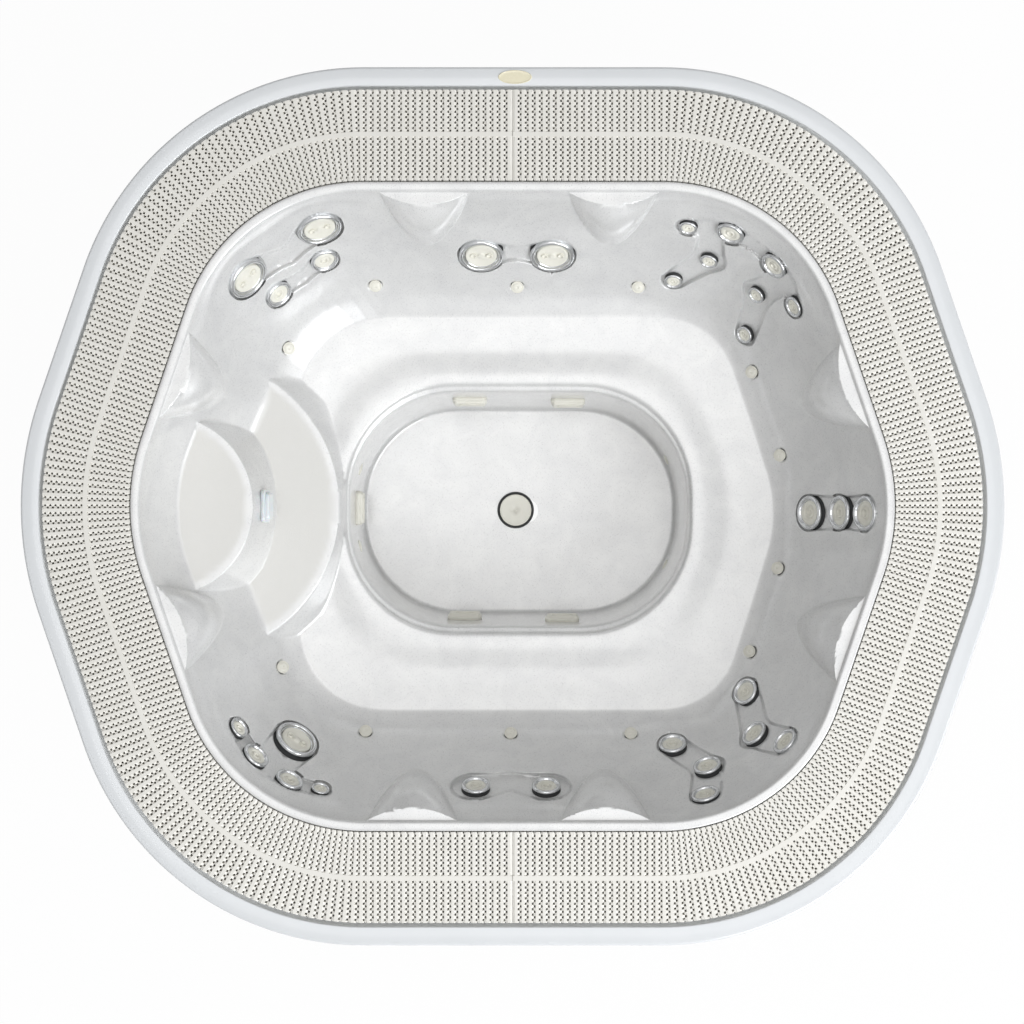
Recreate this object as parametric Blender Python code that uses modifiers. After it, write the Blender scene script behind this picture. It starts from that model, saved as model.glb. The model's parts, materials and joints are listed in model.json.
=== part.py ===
# Overflow hot tub: moulded basin with benches and entry steps, overflow channel,
# lift-off grating, massage jets, suction covers, drain and levelling legs.
# Units are metres, +Z is up, the tub stands on z = 0 and is centred on the origin.
import math

import bmesh
import bpy
from mathutils import Matrix, Vector
from mathutils.bvhtree import BVHTree

# Overall size and plan outline of the outer edge
OVERALL_LENGTH = 2.80
OVERALL_WIDTH = 2.50
OVERALL_HEIGHT = 1.00
SIDE_TILT = math.radians(18.89)
CORNER_RADIUS = 0.8435
APEX_RADIUS = 0.9476
LONG_SIDE_EXTRA_SHARE = 0.045

# Insets measured inward from the outer edge on the short sides
RIM_WIDTH = 0.052
GRATING_OUTER_INSET = 0.0617
SPINE_INSET = 0.1837
GRATING_INNER_INSET = 0.310
LIP_GAP = 0.0025
LIP_WIDTH = 0.0265
LIP_ROUND = 0.006

# Thicknesses and clearances
SHELL_THICKNESS = 0.010
CHANNEL_THICKNESS = 0.008
CLEARANCE = 0.0003
MERGE_DISTANCE = 0.00001
GRATING_THICKNESS = 0.024

# Depths below the top of the rim
RIM_EDGE_ROUND = 0.006
SKIRT_DEPTH = 0.100
CHANNEL_DEPTH = 0.180
LIP_ROUND_DEPTH = 0.010
SEAT_DEPTH = 0.478
SEAT_BACK_RISE = 0.016
SEAT_DISH = 0.009

# The footwell floor's height over the ground
FLOOR_HEIGHT = 0.115

# Sections as pairs of shares: run from the lip to the crease, drop from the lip to the crease
WALL_SECTION_SHARES = [
    (0.03, 0.10), (0.13, 0.24), (0.24, 0.37), (0.40, 0.54), (0.64, 0.77), (0.88, 0.95), (1.0, 1.0),
]
BENCH_RUN_SHARES = [0.12, 0.55, 0.94]
FOOTWELL_SECTION_SHARES = [(0.14, 0.030), (0.45, 0.40), (0.86, 0.93), (1.0, 1.0)]
FLOOR_CENTRE_SHARE = 0.45

# Crease between seat back and bench: corners as shares of half length and half width
CREASE_CORNER_SHARES = [
    (0.596, -0.009), (0.454, 0.485), (-0.4856, 0.485), (-0.4856, 0.315), (-0.590, 0.0),
    (-0.4833, -0.315), (-0.4833, -0.512), (0.4596, -0.512),
]
CREASE_RADIUS_SHARES = [0.315, 0.194, 0.230, 0.080, 0.240, 0.080, 0.208, 0.194]

# Footwell in plan, and how far the floor's edge lies inside it at the ends and the sides
BASIN_CENTRE_X = 0.012
BASIN_CENTRE_Y = -0.002
FOOTWELL_LENGTH = 1.048
FOOTWELL_WIDTH = 0.757
FOOTWELL_CORNER_RADIUS = 0.330
FLOOR_END_INSET = 0.030
FLOOR_SIDE_INSET = 0.0585

# Entry steps: parts of round discs. The lower nose stops a little short of the footwell,
# the upper nose lies one going behind it
STEP_CENTRE_Y = 0.005
STEP_TO_FOOTWELL = 0.013
STEP_GOING = 0.236
UPPER_TREAD_DEPTH = 0.200
UPPER_TREAD_RADIUS = 0.267
UPPER_RISER_RUN = 0.046
LOWER_TREAD_DEPTH = 0.400
LOWER_TREAD_RADIUS = 0.453
LOWER_RISER_RUN = 0.012

# Neck rests: bowed pads under the lip, their middles as shares of the way round the edge
NECK_REST_LENGTH = 0.260
NECK_REST_TOP_DEPTH = 0.013
NECK_REST_HEIGHT = 0.250
NECK_REST_BOW = 0.121
NECK_REST_SECTION_SHARES = [(0, 0.33), (0.19, 0.70), (0.47, 0.93), (1, 1)]
NECK_REST_BACK = 0.014
NECK_REST_END_SOLID = 0.025
NECK_REST_RUN_SHARES = [0.054, 0.217, 0.279, 0.4425, 0.554, 0.717, 0.7805, 0.942]

# Steps and neck rests are let this far into the thickness of the shell
LET_IN_SHARE = 0.4

# Overflow channel
LEDGE_WIDTH = 0.021
LEDGE_DEPTH = GRATING_THICKNESS + 2 * CLEARANCE
CHANNEL_WALL_LEAN = 0.008
UPSTAND_GAP = 0.001
UPSTAND_WIDTH = 0.011

# Grating: each rib bundle stands for three narrow ribs of the real roll
RIBS_PER_HALF = 54
RIB_WIDTH_SHARE = 0.62
SPINE_WIDTH = 0.014
GRATING_END_GAP = 0.0015

# Rim badge: a bare oval plate
BADGE_LENGTH = 0.096
BADGE_WIDTH = 0.039
BADGE_HEIGHT = 0.0025
BADGE_X = 0.007
BADGE_OFFSET = 0.0025
BADGE_CROWN_SHARE = 0.92

# Jets: name, share of the way round the edge, share of the way from lip to crease, face diameter
LARGE_JET = 0.132
MEDIUM_JET = 0.084
NARROW_JET = 0.064
PULSE_JET = 0.054
ROW_JET = 0.104
LARGE_JET_SHARES = [
    ("jet_large_left_top", 0.3345, 0.205), ("jet_large_left_side", 0.3880, 0.215),
    ("jet_large_top_left", 0.2635, 0.506), ("jet_large_top_right", 0.2345, 0.507),
    ("jet_large_bottom_left", 0.6345, 0.515),
]
SMALL_JET_SHARES = [
    ("jet_upper_left_1", 0.3445, 0.462, MEDIUM_JET), ("jet_upper_left_2", 0.3825, 0.489, MEDIUM_JET),
    ("jet_upper_right_1", 0.1760, 0.242, PULSE_JET), ("jet_upper_right_2", 0.1520, 0.184, MEDIUM_JET),
    ("jet_upper_right_3", 0.1525, 0.465, PULSE_JET), ("jet_upper_right_4", 0.1650, 0.712, PULSE_JET),
    ("jet_upper_right_5", 0.1195, 0.201, MEDIUM_JET), ("jet_upper_right_6", 0.1140, 0.499, PULSE_JET),
    ("jet_upper_right_7", 0.0930, 0.274, NARROW_JET), ("jet_upper_right_8", 0.0985, 0.832, PULSE_JET),
    ("jet_right_1", 0.9970, 0.710, ROW_JET), ("jet_right_2", 0.9970, 0.405, ROW_JET),
    ("jet_right_3", 0.9965, 0.162, ROW_JET),
    ("jet_lower_right_1", 0.8305, 0.704, MEDIUM_JET), ("jet_lower_right_2", 0.8420, 0.415, MEDIUM_JET),
    ("jet_lower_right_3", 0.8305, 0.165, MEDIUM_JET), ("jet_lower_right_4", 0.8965, 0.831, MEDIUM_JET),
    ("jet_lower_right_5", 0.8790, 0.466, MEDIUM_JET), ("jet_lower_right_6", 0.8880, 0.184, MEDIUM_JET),
    ("jet_bottom_1", 0.7360, 0.312, MEDIUM_JET), ("jet_bottom_2", 0.7620, 0.308, MEDIUM_JET),
    ("jet_lower_left_1", 0.6050, 0.216, NARROW_JET), ("jet_lower_left_2", 0.6240, 0.178, MEDIUM_JET),
    ("jet_lower_left_3", 0.6485, 0.178, MEDIUM_JET), ("jet_lower_left_4", 0.6670, 0.210, PULSE_JET),
]

# Jet parts as shares of the face radius, and their lengths
FACE_HEIGHT_SHARE = 0.16
SMALL_BARREL_SHARE = 0.56
LARGE_BARREL_SHARE = 0.74
BARREL_LENGTH = 0.050
ROTOR_SHARE = 0.60
ROTOR_DEPTH = 0.022
PORT_RADIUS_SHARE = 0.13
PORT_OFFSET_SHARE = 0.33
PORT_DEPTH = 0.012
SEAT_MARGIN = 0.0015
CUT_REACH = 0.060
HOLE_REACH = 0.030
RING_FLAT_SHARE = 0.82
ROTOR_SECTION_SHARES = [(0, 0.5), (0.46, 1.1), (0.58, 0.6)]
SMALL_FACE_SECTION_SHARES = [(0, -1), (0.50, 1), (0.80, 1), (1, 0.15)]
STAND_OFF_RADIUS_SHARES = (1, 0.85, 0.7, 0.5, 0.3)
MOST_STAND_OFF = 0.0020

# Air nozzles, moulded on as low discs: share round the edge, share from lip to crease
NOZZLE_DIAMETER = 0.038
NOZZLE_HEIGHT = 0.005
NOZZLE_ROOT = 0.006
NOZZLE_CROWN_SHARE = 0.7
NOZZLE_SPOT_SHARES = [
    (0.3245, 0.773), (0.2490, 0.795), (0.1870, 0.793), (0.4080, 0.846), (0.0760, 0.922), (0.0370, 0.910),
    (0.9600, 0.945), (0.9210, 0.975), (0.8060, 0.849), (0.7480, 0.851), (0.6690, 0.858), (0.5885, 0.849),
]

# The same nozzles on the footwell wall: share round the edge, share of the way down the wall
WALL_NOZZLE_HEIGHT = 0.010
WALL_NOZZLE_SPOT_SHARES = [(0.4565, 0.46), (0.5420, 0.46), (0.0530, 0.70), (0.9440, 0.70)]

# Covers on the footwell wall: share round the edge, share of the way down the wall
COVER_SPOT_SHARES = [
    ("suction_cover_top_left", 0.2935, 0.45), ("suction_cover_top_right", 0.203, 0.52),
    ("suction_cover_bottom_left", 0.700, 0.60), ("suction_cover_bottom_right", 0.791, 0.47),
    ("suction_cover_left", 0.498, 0.52),
]
COVER_LENGTH = 0.106
COVER_WIDTH = 0.072
COVER_HEIGHT = 0.028
COVER_CORNER = 0.016
COVER_TAPER = 0.008
COVER_SHOULDER_SHARE = 0.6
LIGHT_LENGTH = 0.097
LIGHT_WIDTH = 0.060
LIGHT_HEIGHT = 0.026
LIGHT_DROP_SHARE = 0.47

# Drain, in the middle of the tub
DRAIN_DIAMETER = 0.117
DRAIN_HEIGHT = 0.012
DRAIN_TAIL_DIAMETER = 0.060
DRAIN_TAIL_LENGTH = 0.060
DRAIN_SECTION_SHARES = [(0, 1), (0.78, 0.85), (0.83, 0.3), (0.92, 0.3)]

# Channel outlets
OUTLET_DIAMETER = 0.075
OUTLET_LENGTH = 0.070
OUTLET_WALL = 0.004
OUTLET_FLANGE_WIDTH = 0.011

# Levelling legs and floor bearers
LEG_TUBE = 0.050
LEG_PLATE = 0.120
LEG_PLATE_THICKNESS = 0.008
LEG_COUNT = 8
LEG_START_SHARE = 0.5
BEARER_WIDTH = 0.080
BEARER_LENGTH = 0.560
BEARER_SPACING = 0.460
BEARER_WALL = 0.006

# Mesh counts
SHELL_SEGMENTS = 60
CORNER_STEPS = 7
APEX_STEPS = 2
CREASE_CORNER_STEPS = 6
FOOTWELL_CORNER_STEPS = 10
COVER_CORNER_STEPS = 2
NOSE_STEPS = 14
NECK_REST_STEPS = 6
LARGE_SEGMENTS = 16
SMALL_SEGMENTS = 10
OUTLET_SEGMENTS = 12
NOZZLE_SEGMENTS = 8
PORT_SEGMENTS = 8
PROBES = 8
STAND_OFF_PROBES = 24

# Finishes: red, green, blue, roughness, metallic
PEARL = (0.80, 0.82, 0.85, 0.18, 0.0)
RIM_WHITE = (0.86, 0.88, 0.90, 0.25, 0.0)
STEEL = (0.74, 0.73, 0.70, 0.12, 1.0)
CREAM = (0.86, 0.83, 0.72, 0.30, 0.0)
GRATING_WHITE = (0.84, 0.82, 0.78, 0.45, 0.0)
PIPE_WHITE = (0.80, 0.80, 0.78, 0.50, 0.0)
GALVANISED = (0.55, 0.57, 0.58, 0.45, 1.0)


def fresh_collection(name):
    collection = bpy.data.collections.new(name)
    bpy.context.scene.collection.children.link(collection)
    return collection


for stale in list(bpy.data.objects):
    bpy.data.objects.remove(stale, do_unlink=True)
PARTS = fresh_collection("overflow_hot_tub")
CUTTERS = fresh_collection("cutters")


def finish_material(name, red, green, blue, roughness, metallic):
    material = bpy.data.materials.new(name)
    material.use_nodes = True
    shader = material.node_tree.nodes["Principled BSDF"]
    shader.inputs["Base Color"].default_value = (red, green, blue, 1)
    shader.inputs["Roughness"].default_value = roughness
    shader.inputs["Metallic"].default_value = metallic
    material.diffuse_color = (red, green, blue, 1)
    return material


def place(name, mesh, material, smooth=False):
    item = bpy.data.objects.new(name, mesh)
    PARTS.objects.link(item)
    mesh.materials.clear()
    mesh.materials.append(finish_material(name + "_finish", *material))
    for face in mesh.polygons:
        face.use_smooth = smooth
    return item


def as_cutter(name, mesh):
    item = bpy.data.objects.new(name, mesh)
    CUTTERS.objects.link(item)
    item.hide_render = True
    item.display_type = "WIRE"
    return item


# The evaluated mesh of an object with its modifiers applied
def applied(item):
    view = bpy.context.evaluated_depsgraph_get()
    view.update()
    mesh = bpy.data.meshes.new_from_object(item.evaluated_get(view), depsgraph=view)
    mesh.transform(item.matrix_world)
    return mesh


def combine(target, tool, operation):
    step = target.modifiers.new("combine", "BOOLEAN")
    step.operation = operation
    step.solver = "EXACT"
    step.object = tool
    mesh = applied(target)
    target.modifiers.clear()
    target.data = mesh
    return target


# One mesh through stacked rings of equal point counts, with optional end caps
def loft(name, rings, cap_first=True, cap_last=True, closed_loop=False):
    model = bmesh.new()
    rows = [[model.verts.new(point) for point in ring] for ring in rings]
    count = len(rings[0])
    pairs = list(zip(rows, rows[1:]))
    if closed_loop:
        pairs.append((rows[-1], rows[0]))
    for upper, lower in pairs:
        for i in range(count):
            j = (i + 1) % count
            model.faces.new((upper[i], upper[j], lower[j], lower[i]))
    if cap_first:
        model.faces.new(list(reversed(rows[0])))
    if cap_last:
        model.faces.new(rows[-1])
    bmesh.ops.recalc_face_normals(model, faces=model.faces[:])
    mesh = bpy.data.meshes.new(name)
    model.to_mesh(mesh)
    model.free()
    return mesh


# A round solid: the profile runs down its outer side from the top of the axis to the bottom
def turned(name, profile, segments):
    line = bpy.data.meshes.new(name + "_line")
    edges = [(i, i + 1) for i in range(len(profile) - 1)]
    line.from_pydata([(radius, 0, height) for radius, height in profile], edges, [])
    item = bpy.data.objects.new(name + "_line", line)
    CUTTERS.objects.link(item)
    item.hide_render = True
    screw = item.modifiers.new("turn", "SCREW")
    screw.axis = "Z"
    screw.steps = segments
    screw.render_steps = segments
    screw.use_merge_vertices = True
    screw.merge_threshold = 0.00001
    screw.use_normal_calculate = True
    mesh = applied(item)
    bpy.data.objects.remove(item, do_unlink=True)
    model = bmesh.new()
    model.from_mesh(mesh)
    bmesh.ops.remove_doubles(model, verts=model.verts[:], dist=MERGE_DISTANCE)
    bmesh.ops.recalc_face_normals(model, faces=model.faces[:])
    model.to_mesh(mesh)
    model.free()
    return mesh


# A flat plate with the given plan outline, from one height up to another
def plate(name, outline, low, high):
    curve = bpy.data.curves.new(name, "CURVE")
    curve.dimensions = "2D"
    curve.fill_mode = "BOTH"
    curve.extrude = (high - low) / 2
    spline = curve.splines.new("POLY")
    spline.points.add(len(outline) - 1)
    for point, (x, y) in zip(spline.points, outline):
        point.co = (x, y, 0, 1)
    spline.use_cyclic_u = True
    item = bpy.data.objects.new(name, curve)
    CUTTERS.objects.link(item)
    item.location.z = (high + low) / 2
    bpy.context.view_layer.update()
    mesh = applied(item)
    bpy.data.objects.remove(item, do_unlink=True)
    model = bmesh.new()
    model.from_mesh(mesh)
    bmesh.ops.remove_doubles(model, verts=model.verts[:], dist=MERGE_DISTANCE)
    bmesh.ops.recalc_face_normals(model, faces=model.faces[:])
    model.to_mesh(mesh)
    model.free()
    return mesh


HALF_LENGTH = OVERALL_LENGTH / 2
HALF_WIDTH = OVERALL_WIDTH / 2
LIP_OUTER_INSET = GRATING_INNER_INSET + LIP_GAP
LIP_INNER_INSET = LIP_OUTER_INSET + LIP_WIDTH
LIP_CREST_INSET = LIP_INNER_INSET - LIP_ROUND
CREASE_DEPTH = SEAT_DEPTH - SEAT_BACK_RISE
FLOOR_DEPTH = OVERALL_HEIGHT - FLOOR_HEIGHT
BASIN_CENTRE = Vector((BASIN_CENTRE_X, BASIN_CENTRE_Y))
LIP_LEFT_X = LIP_INNER_INSET - HALF_LENGTH
LOWER_NOSE_X = BASIN_CENTRE_X - FOOTWELL_LENGTH / 2 - STEP_TO_FOOTWELL
UPPER_NOSE_X = LOWER_NOSE_X - STEP_GOING

# The outer edge in plan: a rounded hexagon, longest along X, walked from the right apex
APEX_X = HALF_LENGTH + APEX_RADIUS * (1 / math.cos(SIDE_TILT) - 1)
APEX_CENTRE = Vector((APEX_X - APEX_RADIUS / math.cos(SIDE_TILT), 0))
CORNER_TANGENT = CORNER_RADIUS * math.tan((math.pi / 2 - SIDE_TILT) / 2)
CORNER_CENTRE_X = APEX_X - HALF_WIDTH * math.tan(SIDE_TILT) - CORNER_TANGENT
CORNER_CENTRE = Vector((CORNER_CENTRE_X, HALF_WIDTH - CORNER_RADIUS))
SIDE_NORMAL = Vector((math.cos(SIDE_TILT), math.sin(SIDE_TILT)))
SIDE_START = APEX_CENTRE + APEX_RADIUS * SIDE_NORMAL
SIDE_END = CORNER_CENTRE + CORNER_RADIUS * SIDE_NORMAL
APEX_RUN = APEX_RADIUS * SIDE_TILT
SIDE_RUN = (SIDE_END - SIDE_START).length
CORNER_RUN = CORNER_RADIUS * (math.pi / 2 - SIDE_TILT)
QUARTER_RUN = APEX_RUN + SIDE_RUN + CORNER_RUN + CORNER_CENTRE.x
WHOLE_RUN = 4 * QUARTER_RUN


def quarter_point(run):
    if run < APEX_RUN:
        angle = run / APEX_RADIUS
        normal = Vector((math.cos(angle), math.sin(angle)))
        return APEX_CENTRE + APEX_RADIUS * normal, normal
    run -= APEX_RUN
    if run < SIDE_RUN:
        return SIDE_START.lerp(SIDE_END, run / SIDE_RUN), SIDE_NORMAL.copy()
    run -= SIDE_RUN
    if run < CORNER_RUN:
        angle = SIDE_TILT + run / CORNER_RADIUS
        normal = Vector((math.cos(angle), math.sin(angle)))
        return CORNER_CENTRE + CORNER_RADIUS * normal, normal
    run -= CORNER_RUN
    return Vector((CORNER_CENTRE.x - run, HALF_WIDTH)), Vector((0, 1))


# A point moved inward from the outer edge; run is the distance walked from the right apex
def edge_point(run, inset):
    run = run % WHOLE_RUN
    quarter = int(run // QUARTER_RUN)
    within = run - quarter * QUARTER_RUN
    if quarter % 2:
        within = QUARTER_RUN - within
    spot, normal = quarter_point(within)
    spot = spot - normal * inset * (1 + LONG_SIDE_EXTRA_SHARE * normal.y ** 2)
    side_x = 1 if quarter in (0, 3) else -1
    side_y = 1 if quarter in (0, 1) else -1
    return Vector((spot.x * side_x, spot.y * side_y))


# Runs of the points that follow the curves of the edge and skip its straights
def edge_runs():
    quarter = [APEX_RUN * i / APEX_STEPS for i in range(APEX_STEPS)]
    quarter.append(APEX_RUN)
    quarter += [APEX_RUN + SIDE_RUN + CORNER_RUN * i / CORNER_STEPS for i in range(CORNER_STEPS + 1)]
    runs = []
    for turn in range(4):
        base = turn * QUARTER_RUN
        if turn % 2:
            runs += [base + QUARTER_RUN - run for run in reversed(quarter) if run > 0]
        else:
            runs += [base + run for run in quarter]
        if turn == 1:
            runs.append(2 * QUARTER_RUN)
    return sorted(set(round(run, 6) for run in runs))


# A polygon with rounded corners as a list of points
def rounded_polygon(corners, radii, steps):
    points = []
    count = len(corners)
    for i in range(count):
        corner = Vector(corners[i])
        back = (Vector(corners[i - 1]) - corner).normalized()
        ahead = (Vector(corners[(i + 1) % count]) - corner).normalized()
        half = back.angle(ahead) / 2
        cut = radii[i] / math.tan(half)
        middle = corner + (back + ahead).normalized() * radii[i] / math.sin(half)
        first = corner + back * cut - middle
        last = corner + ahead * cut - middle
        for k in range(steps + 1):
            points.append(middle + first.slerp(last, k / steps) * radii[i])
    return points


# Where a ray from the basin centre meets a closed outline
def reach(outline, direction):
    best = None
    for i in range(len(outline)):
        start = outline[i] - BASIN_CENTRE
        side = outline[(i + 1) % len(outline)] - BASIN_CENTRE - start
        cross = direction.x * side.y - direction.y * side.x
        if abs(cross) < 1e-9:
            continue
        along = (start.x * side.y - start.y * side.x) / cross
        share = (start.x * direction.y - start.y * direction.x) / cross
        if along > 0 and -1e-6 <= share <= 1 + 1e-6 and (best is None or along > best):
            best = along
    return BASIN_CENTRE + direction * best


# The corners of a rectangle about the middle, against the clock
def rectangle(length, width):
    return [(x * length / 2, y * width / 2) for x, y in ((1, 1), (-1, 1), (-1, -1), (1, -1))]


def stadium(length, width, radius):
    outline = rounded_polygon(rectangle(length, width), [radius] * 4, FOOTWELL_CORNER_STEPS)
    return [BASIN_CENTRE + spot for spot in outline]


CREASE_CORNERS = [(x * HALF_LENGTH, y * HALF_WIDTH) for x, y in CREASE_CORNER_SHARES]
CREASE_RADII = [share * HALF_WIDTH for share in CREASE_RADIUS_SHARES]
CREASE = rounded_polygon(CREASE_CORNERS, CREASE_RADII, CREASE_CORNER_STEPS)
BENCH_EDGE = stadium(FOOTWELL_LENGTH, FOOTWELL_WIDTH, FOOTWELL_CORNER_RADIUS)
FLOOR_LENGTH = FOOTWELL_LENGTH - 2 * FLOOR_END_INSET
FLOOR_WIDTH = FOOTWELL_WIDTH - 2 * FLOOR_SIDE_INSET
FLOOR_EDGE = stadium(FLOOR_LENGTH, FLOOR_WIDTH, FOOTWELL_CORNER_RADIUS - FLOOR_END_INSET)


# The lip, the crease, the bench edge and the floor edge on one ray from the basin centre
def basin_stations(run):
    lip = edge_point(run, LIP_INNER_INSET)
    direction = (lip - BASIN_CENTRE).normalized()
    return lip, reach(CREASE, direction), reach(BENCH_EDGE, direction), reach(FLOOR_EDGE, direction)


def at_depth(spot, depth):
    return Vector((spot.x, spot.y, OVERALL_HEIGHT - depth))


def shell_rings():
    runs = [WHOLE_RUN * i / SHELL_SEGMENTS for i in range(SHELL_SEGMENTS)]
    stations = [basin_stations(run) for run in runs]
    rings = [[at_depth(edge_point(run, LIP_OUTER_INSET), 0) for run in runs]]
    rings.append([at_depth(edge_point(run, LIP_CREST_INSET), 0) for run in runs])
    rings.append([at_depth(lip, LIP_ROUND_DEPTH) for lip, _, _, _ in stations])
    drop = CREASE_DEPTH - LIP_ROUND_DEPTH
    for share, drop_share in WALL_SECTION_SHARES:
        depth = LIP_ROUND_DEPTH + drop * drop_share
        rings.append([at_depth(lip.lerp(crease, share), depth) for lip, crease, _, _ in stations])
    for share, depth in zip(BENCH_RUN_SHARES, (SEAT_DEPTH, SEAT_DEPTH + SEAT_DISH, SEAT_DEPTH)):
        rings.append([at_depth(crease.lerp(edge, share), depth) for _, crease, edge, _ in stations])
    fall = FLOOR_DEPTH - SEAT_DEPTH
    for share, drop_share in FOOTWELL_SECTION_SHARES:
        depth = SEAT_DEPTH + fall * drop_share
        rings.append([at_depth(edge.lerp(low, share), depth) for _, _, edge, low in stations])
    middle = [low.lerp(BASIN_CENTRE, FLOOR_CENTRE_SHARE) for _, _, _, low in stations]
    rings.append([at_depth(spot, FLOOR_DEPTH) for spot in middle])
    return rings


# A step in plan: a half disc in front of a straight run back past the lip
def step_outline(nose_x, radius, shift, back_x):
    centre = Vector((nose_x - radius, STEP_CENTRE_Y))
    points = []
    for i in range(NOSE_STEPS + 1):
        angle = math.pi / 2 - math.pi * i / NOSE_STEPS
        points.append(centre + Vector((math.cos(angle), math.sin(angle))) * (radius + shift))
    points.append(Vector((back_x, points[-1].y)))
    points.append(Vector((back_x, points[0].y)))
    return points


# A neck rest in plan: a bow in front of the lip, closed by a straight line behind it
def neck_rest_outline(run, length, bow, back):
    middle = edge_point(run, LIP_INNER_INSET)
    inward = (edge_point(run, SPINE_INSET) - edge_point(run, 0)).normalized()
    along = Vector((-inward.y, inward.x))
    points = []
    for i in range(NECK_REST_STEPS + 1):
        share = 2 * i / NECK_REST_STEPS - 1
        points.append(middle + along * length / 2 * share + inward * bow * (1 - share * share))
    points.append(middle + along * length / 2 - inward * back)
    points.append(middle - along * length / 2 - inward * back)
    return points


# Basin shell: a loft of plan outlines from the overflow lip down to the footwell floor
basin_shell = place("basin_shell", loft("basin_shell", shell_rings(), cap_first=False), PEARL)
if sum(face.normal.z * face.area for face in basin_shell.data.polygons) < 0:
    basin_shell.data.flip_normals()
wall = basin_shell.modifiers.new("wall", "SOLIDIFY")
wall.thickness = SHELL_THICKNESS
wall.offset = -1
wall.use_even_offset = True
basin_shell.modifiers.new("flat_facets", "TRIANGULATE")
basin_shell.data = applied(basin_shell)
basin_shell.modifiers.clear()


# Several closed meshes that don't touch, as one
def joined(name, meshes):
    model = bmesh.new()
    for mesh in meshes:
        model.from_mesh(mesh)
    whole = bpy.data.meshes.new(name)
    model.to_mesh(whole)
    model.free()
    return whole


# The room inside the basin, let a little into the thickness of the shell
def basin_room(name):
    room = as_cutter(name, loft(name, shell_rings()[2:]))
    grow = room.modifiers.new("grow", "DISPLACE")
    grow.strength = SHELL_THICKNESS * LET_IN_SHARE
    grow.mid_level = 0
    room.data = applied(room)
    room.modifiers.clear()
    return room


# Steps and neck rests are formed in the same sheet as the seat back: a block is joined to
# the shell and the same block, one thickness smaller, is taken out from behind
def form(name, block, hollow):
    outside = as_cutter(name + "_outside", block)
    combine(outside, basin_room(name + "_room"), "INTERSECT")
    combine(basin_shell, outside, "UNION")
    combine(basin_shell, as_cutter(name + "_inside", hollow), "DIFFERENCE")


def stack(name, outlines, depths):
    rings = [[at_depth(spot, depth) for spot in outline] for outline, depth in zip(outlines, depths)]
    return loft(name, rings)


def entry_step(name, nose_x, radius, riser_run, depth, foot_depth):
    nose = step_outline(nose_x, radius, 0, LIP_LEFT_X)
    riser_foot = step_outline(nose_x, radius, riser_run, LIP_LEFT_X)
    block = stack(name, (nose, riser_foot), (depth, foot_depth))
    back = LIP_LEFT_X - SHELL_THICKNESS
    top = step_outline(nose_x, radius, -SHELL_THICKNESS, back)
    foot = step_outline(nose_x, radius, riser_run - SHELL_THICKNESS, back)
    form(name, block, stack(name, (top, foot, foot), (depth + SHELL_THICKNESS, foot_depth, FLOOR_DEPTH)))


# A pad bowed most at its foot; its hollow is one thickness smaller and leaves the ends solid
def neck_rest(run, skin, end_solid):
    outlines = []
    depths = []
    for drop_share, bow_share in NECK_REST_SECTION_SHARES:
        length = NECK_REST_LENGTH - 2 * end_solid
        bow = NECK_REST_BOW * bow_share - skin
        outlines.append(neck_rest_outline(run, length, bow, NECK_REST_BACK + skin))
        depths.append(NECK_REST_TOP_DEPTH + skin + (NECK_REST_HEIGHT - skin) * drop_share)
    return stack("neck_rest", outlines, depths)


pads = []
pad_hollows = []
for share in NECK_REST_RUN_SHARES:
    pads.append(neck_rest(share * WHOLE_RUN, 0, 0))
    pad_hollows.append(neck_rest(share * WHOLE_RUN, SHELL_THICKNESS, NECK_REST_END_SOLID))
form("neck_rests", joined("neck_rests", pads), joined("neck_rest_hollows", pad_hollows))
lower_foot = SEAT_DEPTH + SEAT_DISH + SHELL_THICKNESS / 2
upper_foot = LOWER_TREAD_DEPTH + SHELL_THICKNESS / 2
entry_step("lower_step", LOWER_NOSE_X, LOWER_TREAD_RADIUS, LOWER_RISER_RUN, LOWER_TREAD_DEPTH, lower_foot)
entry_step("upper_step", UPPER_NOSE_X, UPPER_TREAD_RADIUS, UPPER_RISER_RUN, UPPER_TREAD_DEPTH, upper_foot)


def shell_tree(item):
    faces = [face.vertices[:] for face in item.data.polygons]
    return BVHTree.FromPolygons([vertex.co for vertex in item.data.vertices], faces)


SURFACE = shell_tree(basin_shell)
DOWN = Vector((0, 0, -1))


# A frame with its Z axis square to the surface that a ray meets
def seat_frame(start, direction, spread):
    side = Vector((0, 0, 1)).cross(direction)
    side = Vector((1, 0, 0)) if side.length < CLEARANCE else side.normalized()
    up = direction.cross(side)
    spot, _, _, _ = SURFACE.ray_cast(start, direction)
    normal = Vector((0, 0, 0))
    for turn in range(PROBES):
        angle = 2 * math.pi * turn / PROBES
        beside = start + (side * math.cos(angle) + up * math.sin(angle)) * spread / 2
        _, slope, _, _ = SURFACE.ray_cast(beside, direction)
        if slope is not None:
            normal += slope
    normal.normalize()
    level = Vector((0, 0, 1)).cross(normal).normalized()
    axes = Matrix((level, normal.cross(level), normal)).transposed().to_4x4()
    return Matrix.Translation(spot) @ axes


# On the seat back: shares round the edge and from the lip to the crease
def seat_on_back(run_share, wall_share, spread):
    lip, crease, _, _ = basin_stations(run_share * WHOLE_RUN)
    return seat_frame(at_depth(lip.lerp(crease, wall_share), 0), DOWN, spread)


# On the footwell wall: shares round the edge and of the drop from bench to floor
def seat_on_footwell(run_share, drop_share, spread):
    lip, _, _, _ = basin_stations(run_share * WHOLE_RUN)
    level = SEAT_DEPTH + (FLOOR_DEPTH - SEAT_DEPTH) * drop_share
    outward = lip - BASIN_CENTRE
    return seat_frame(at_depth(BASIN_CENTRE, level), Vector((outward.x, outward.y, 0)).normalized(), spread)


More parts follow.
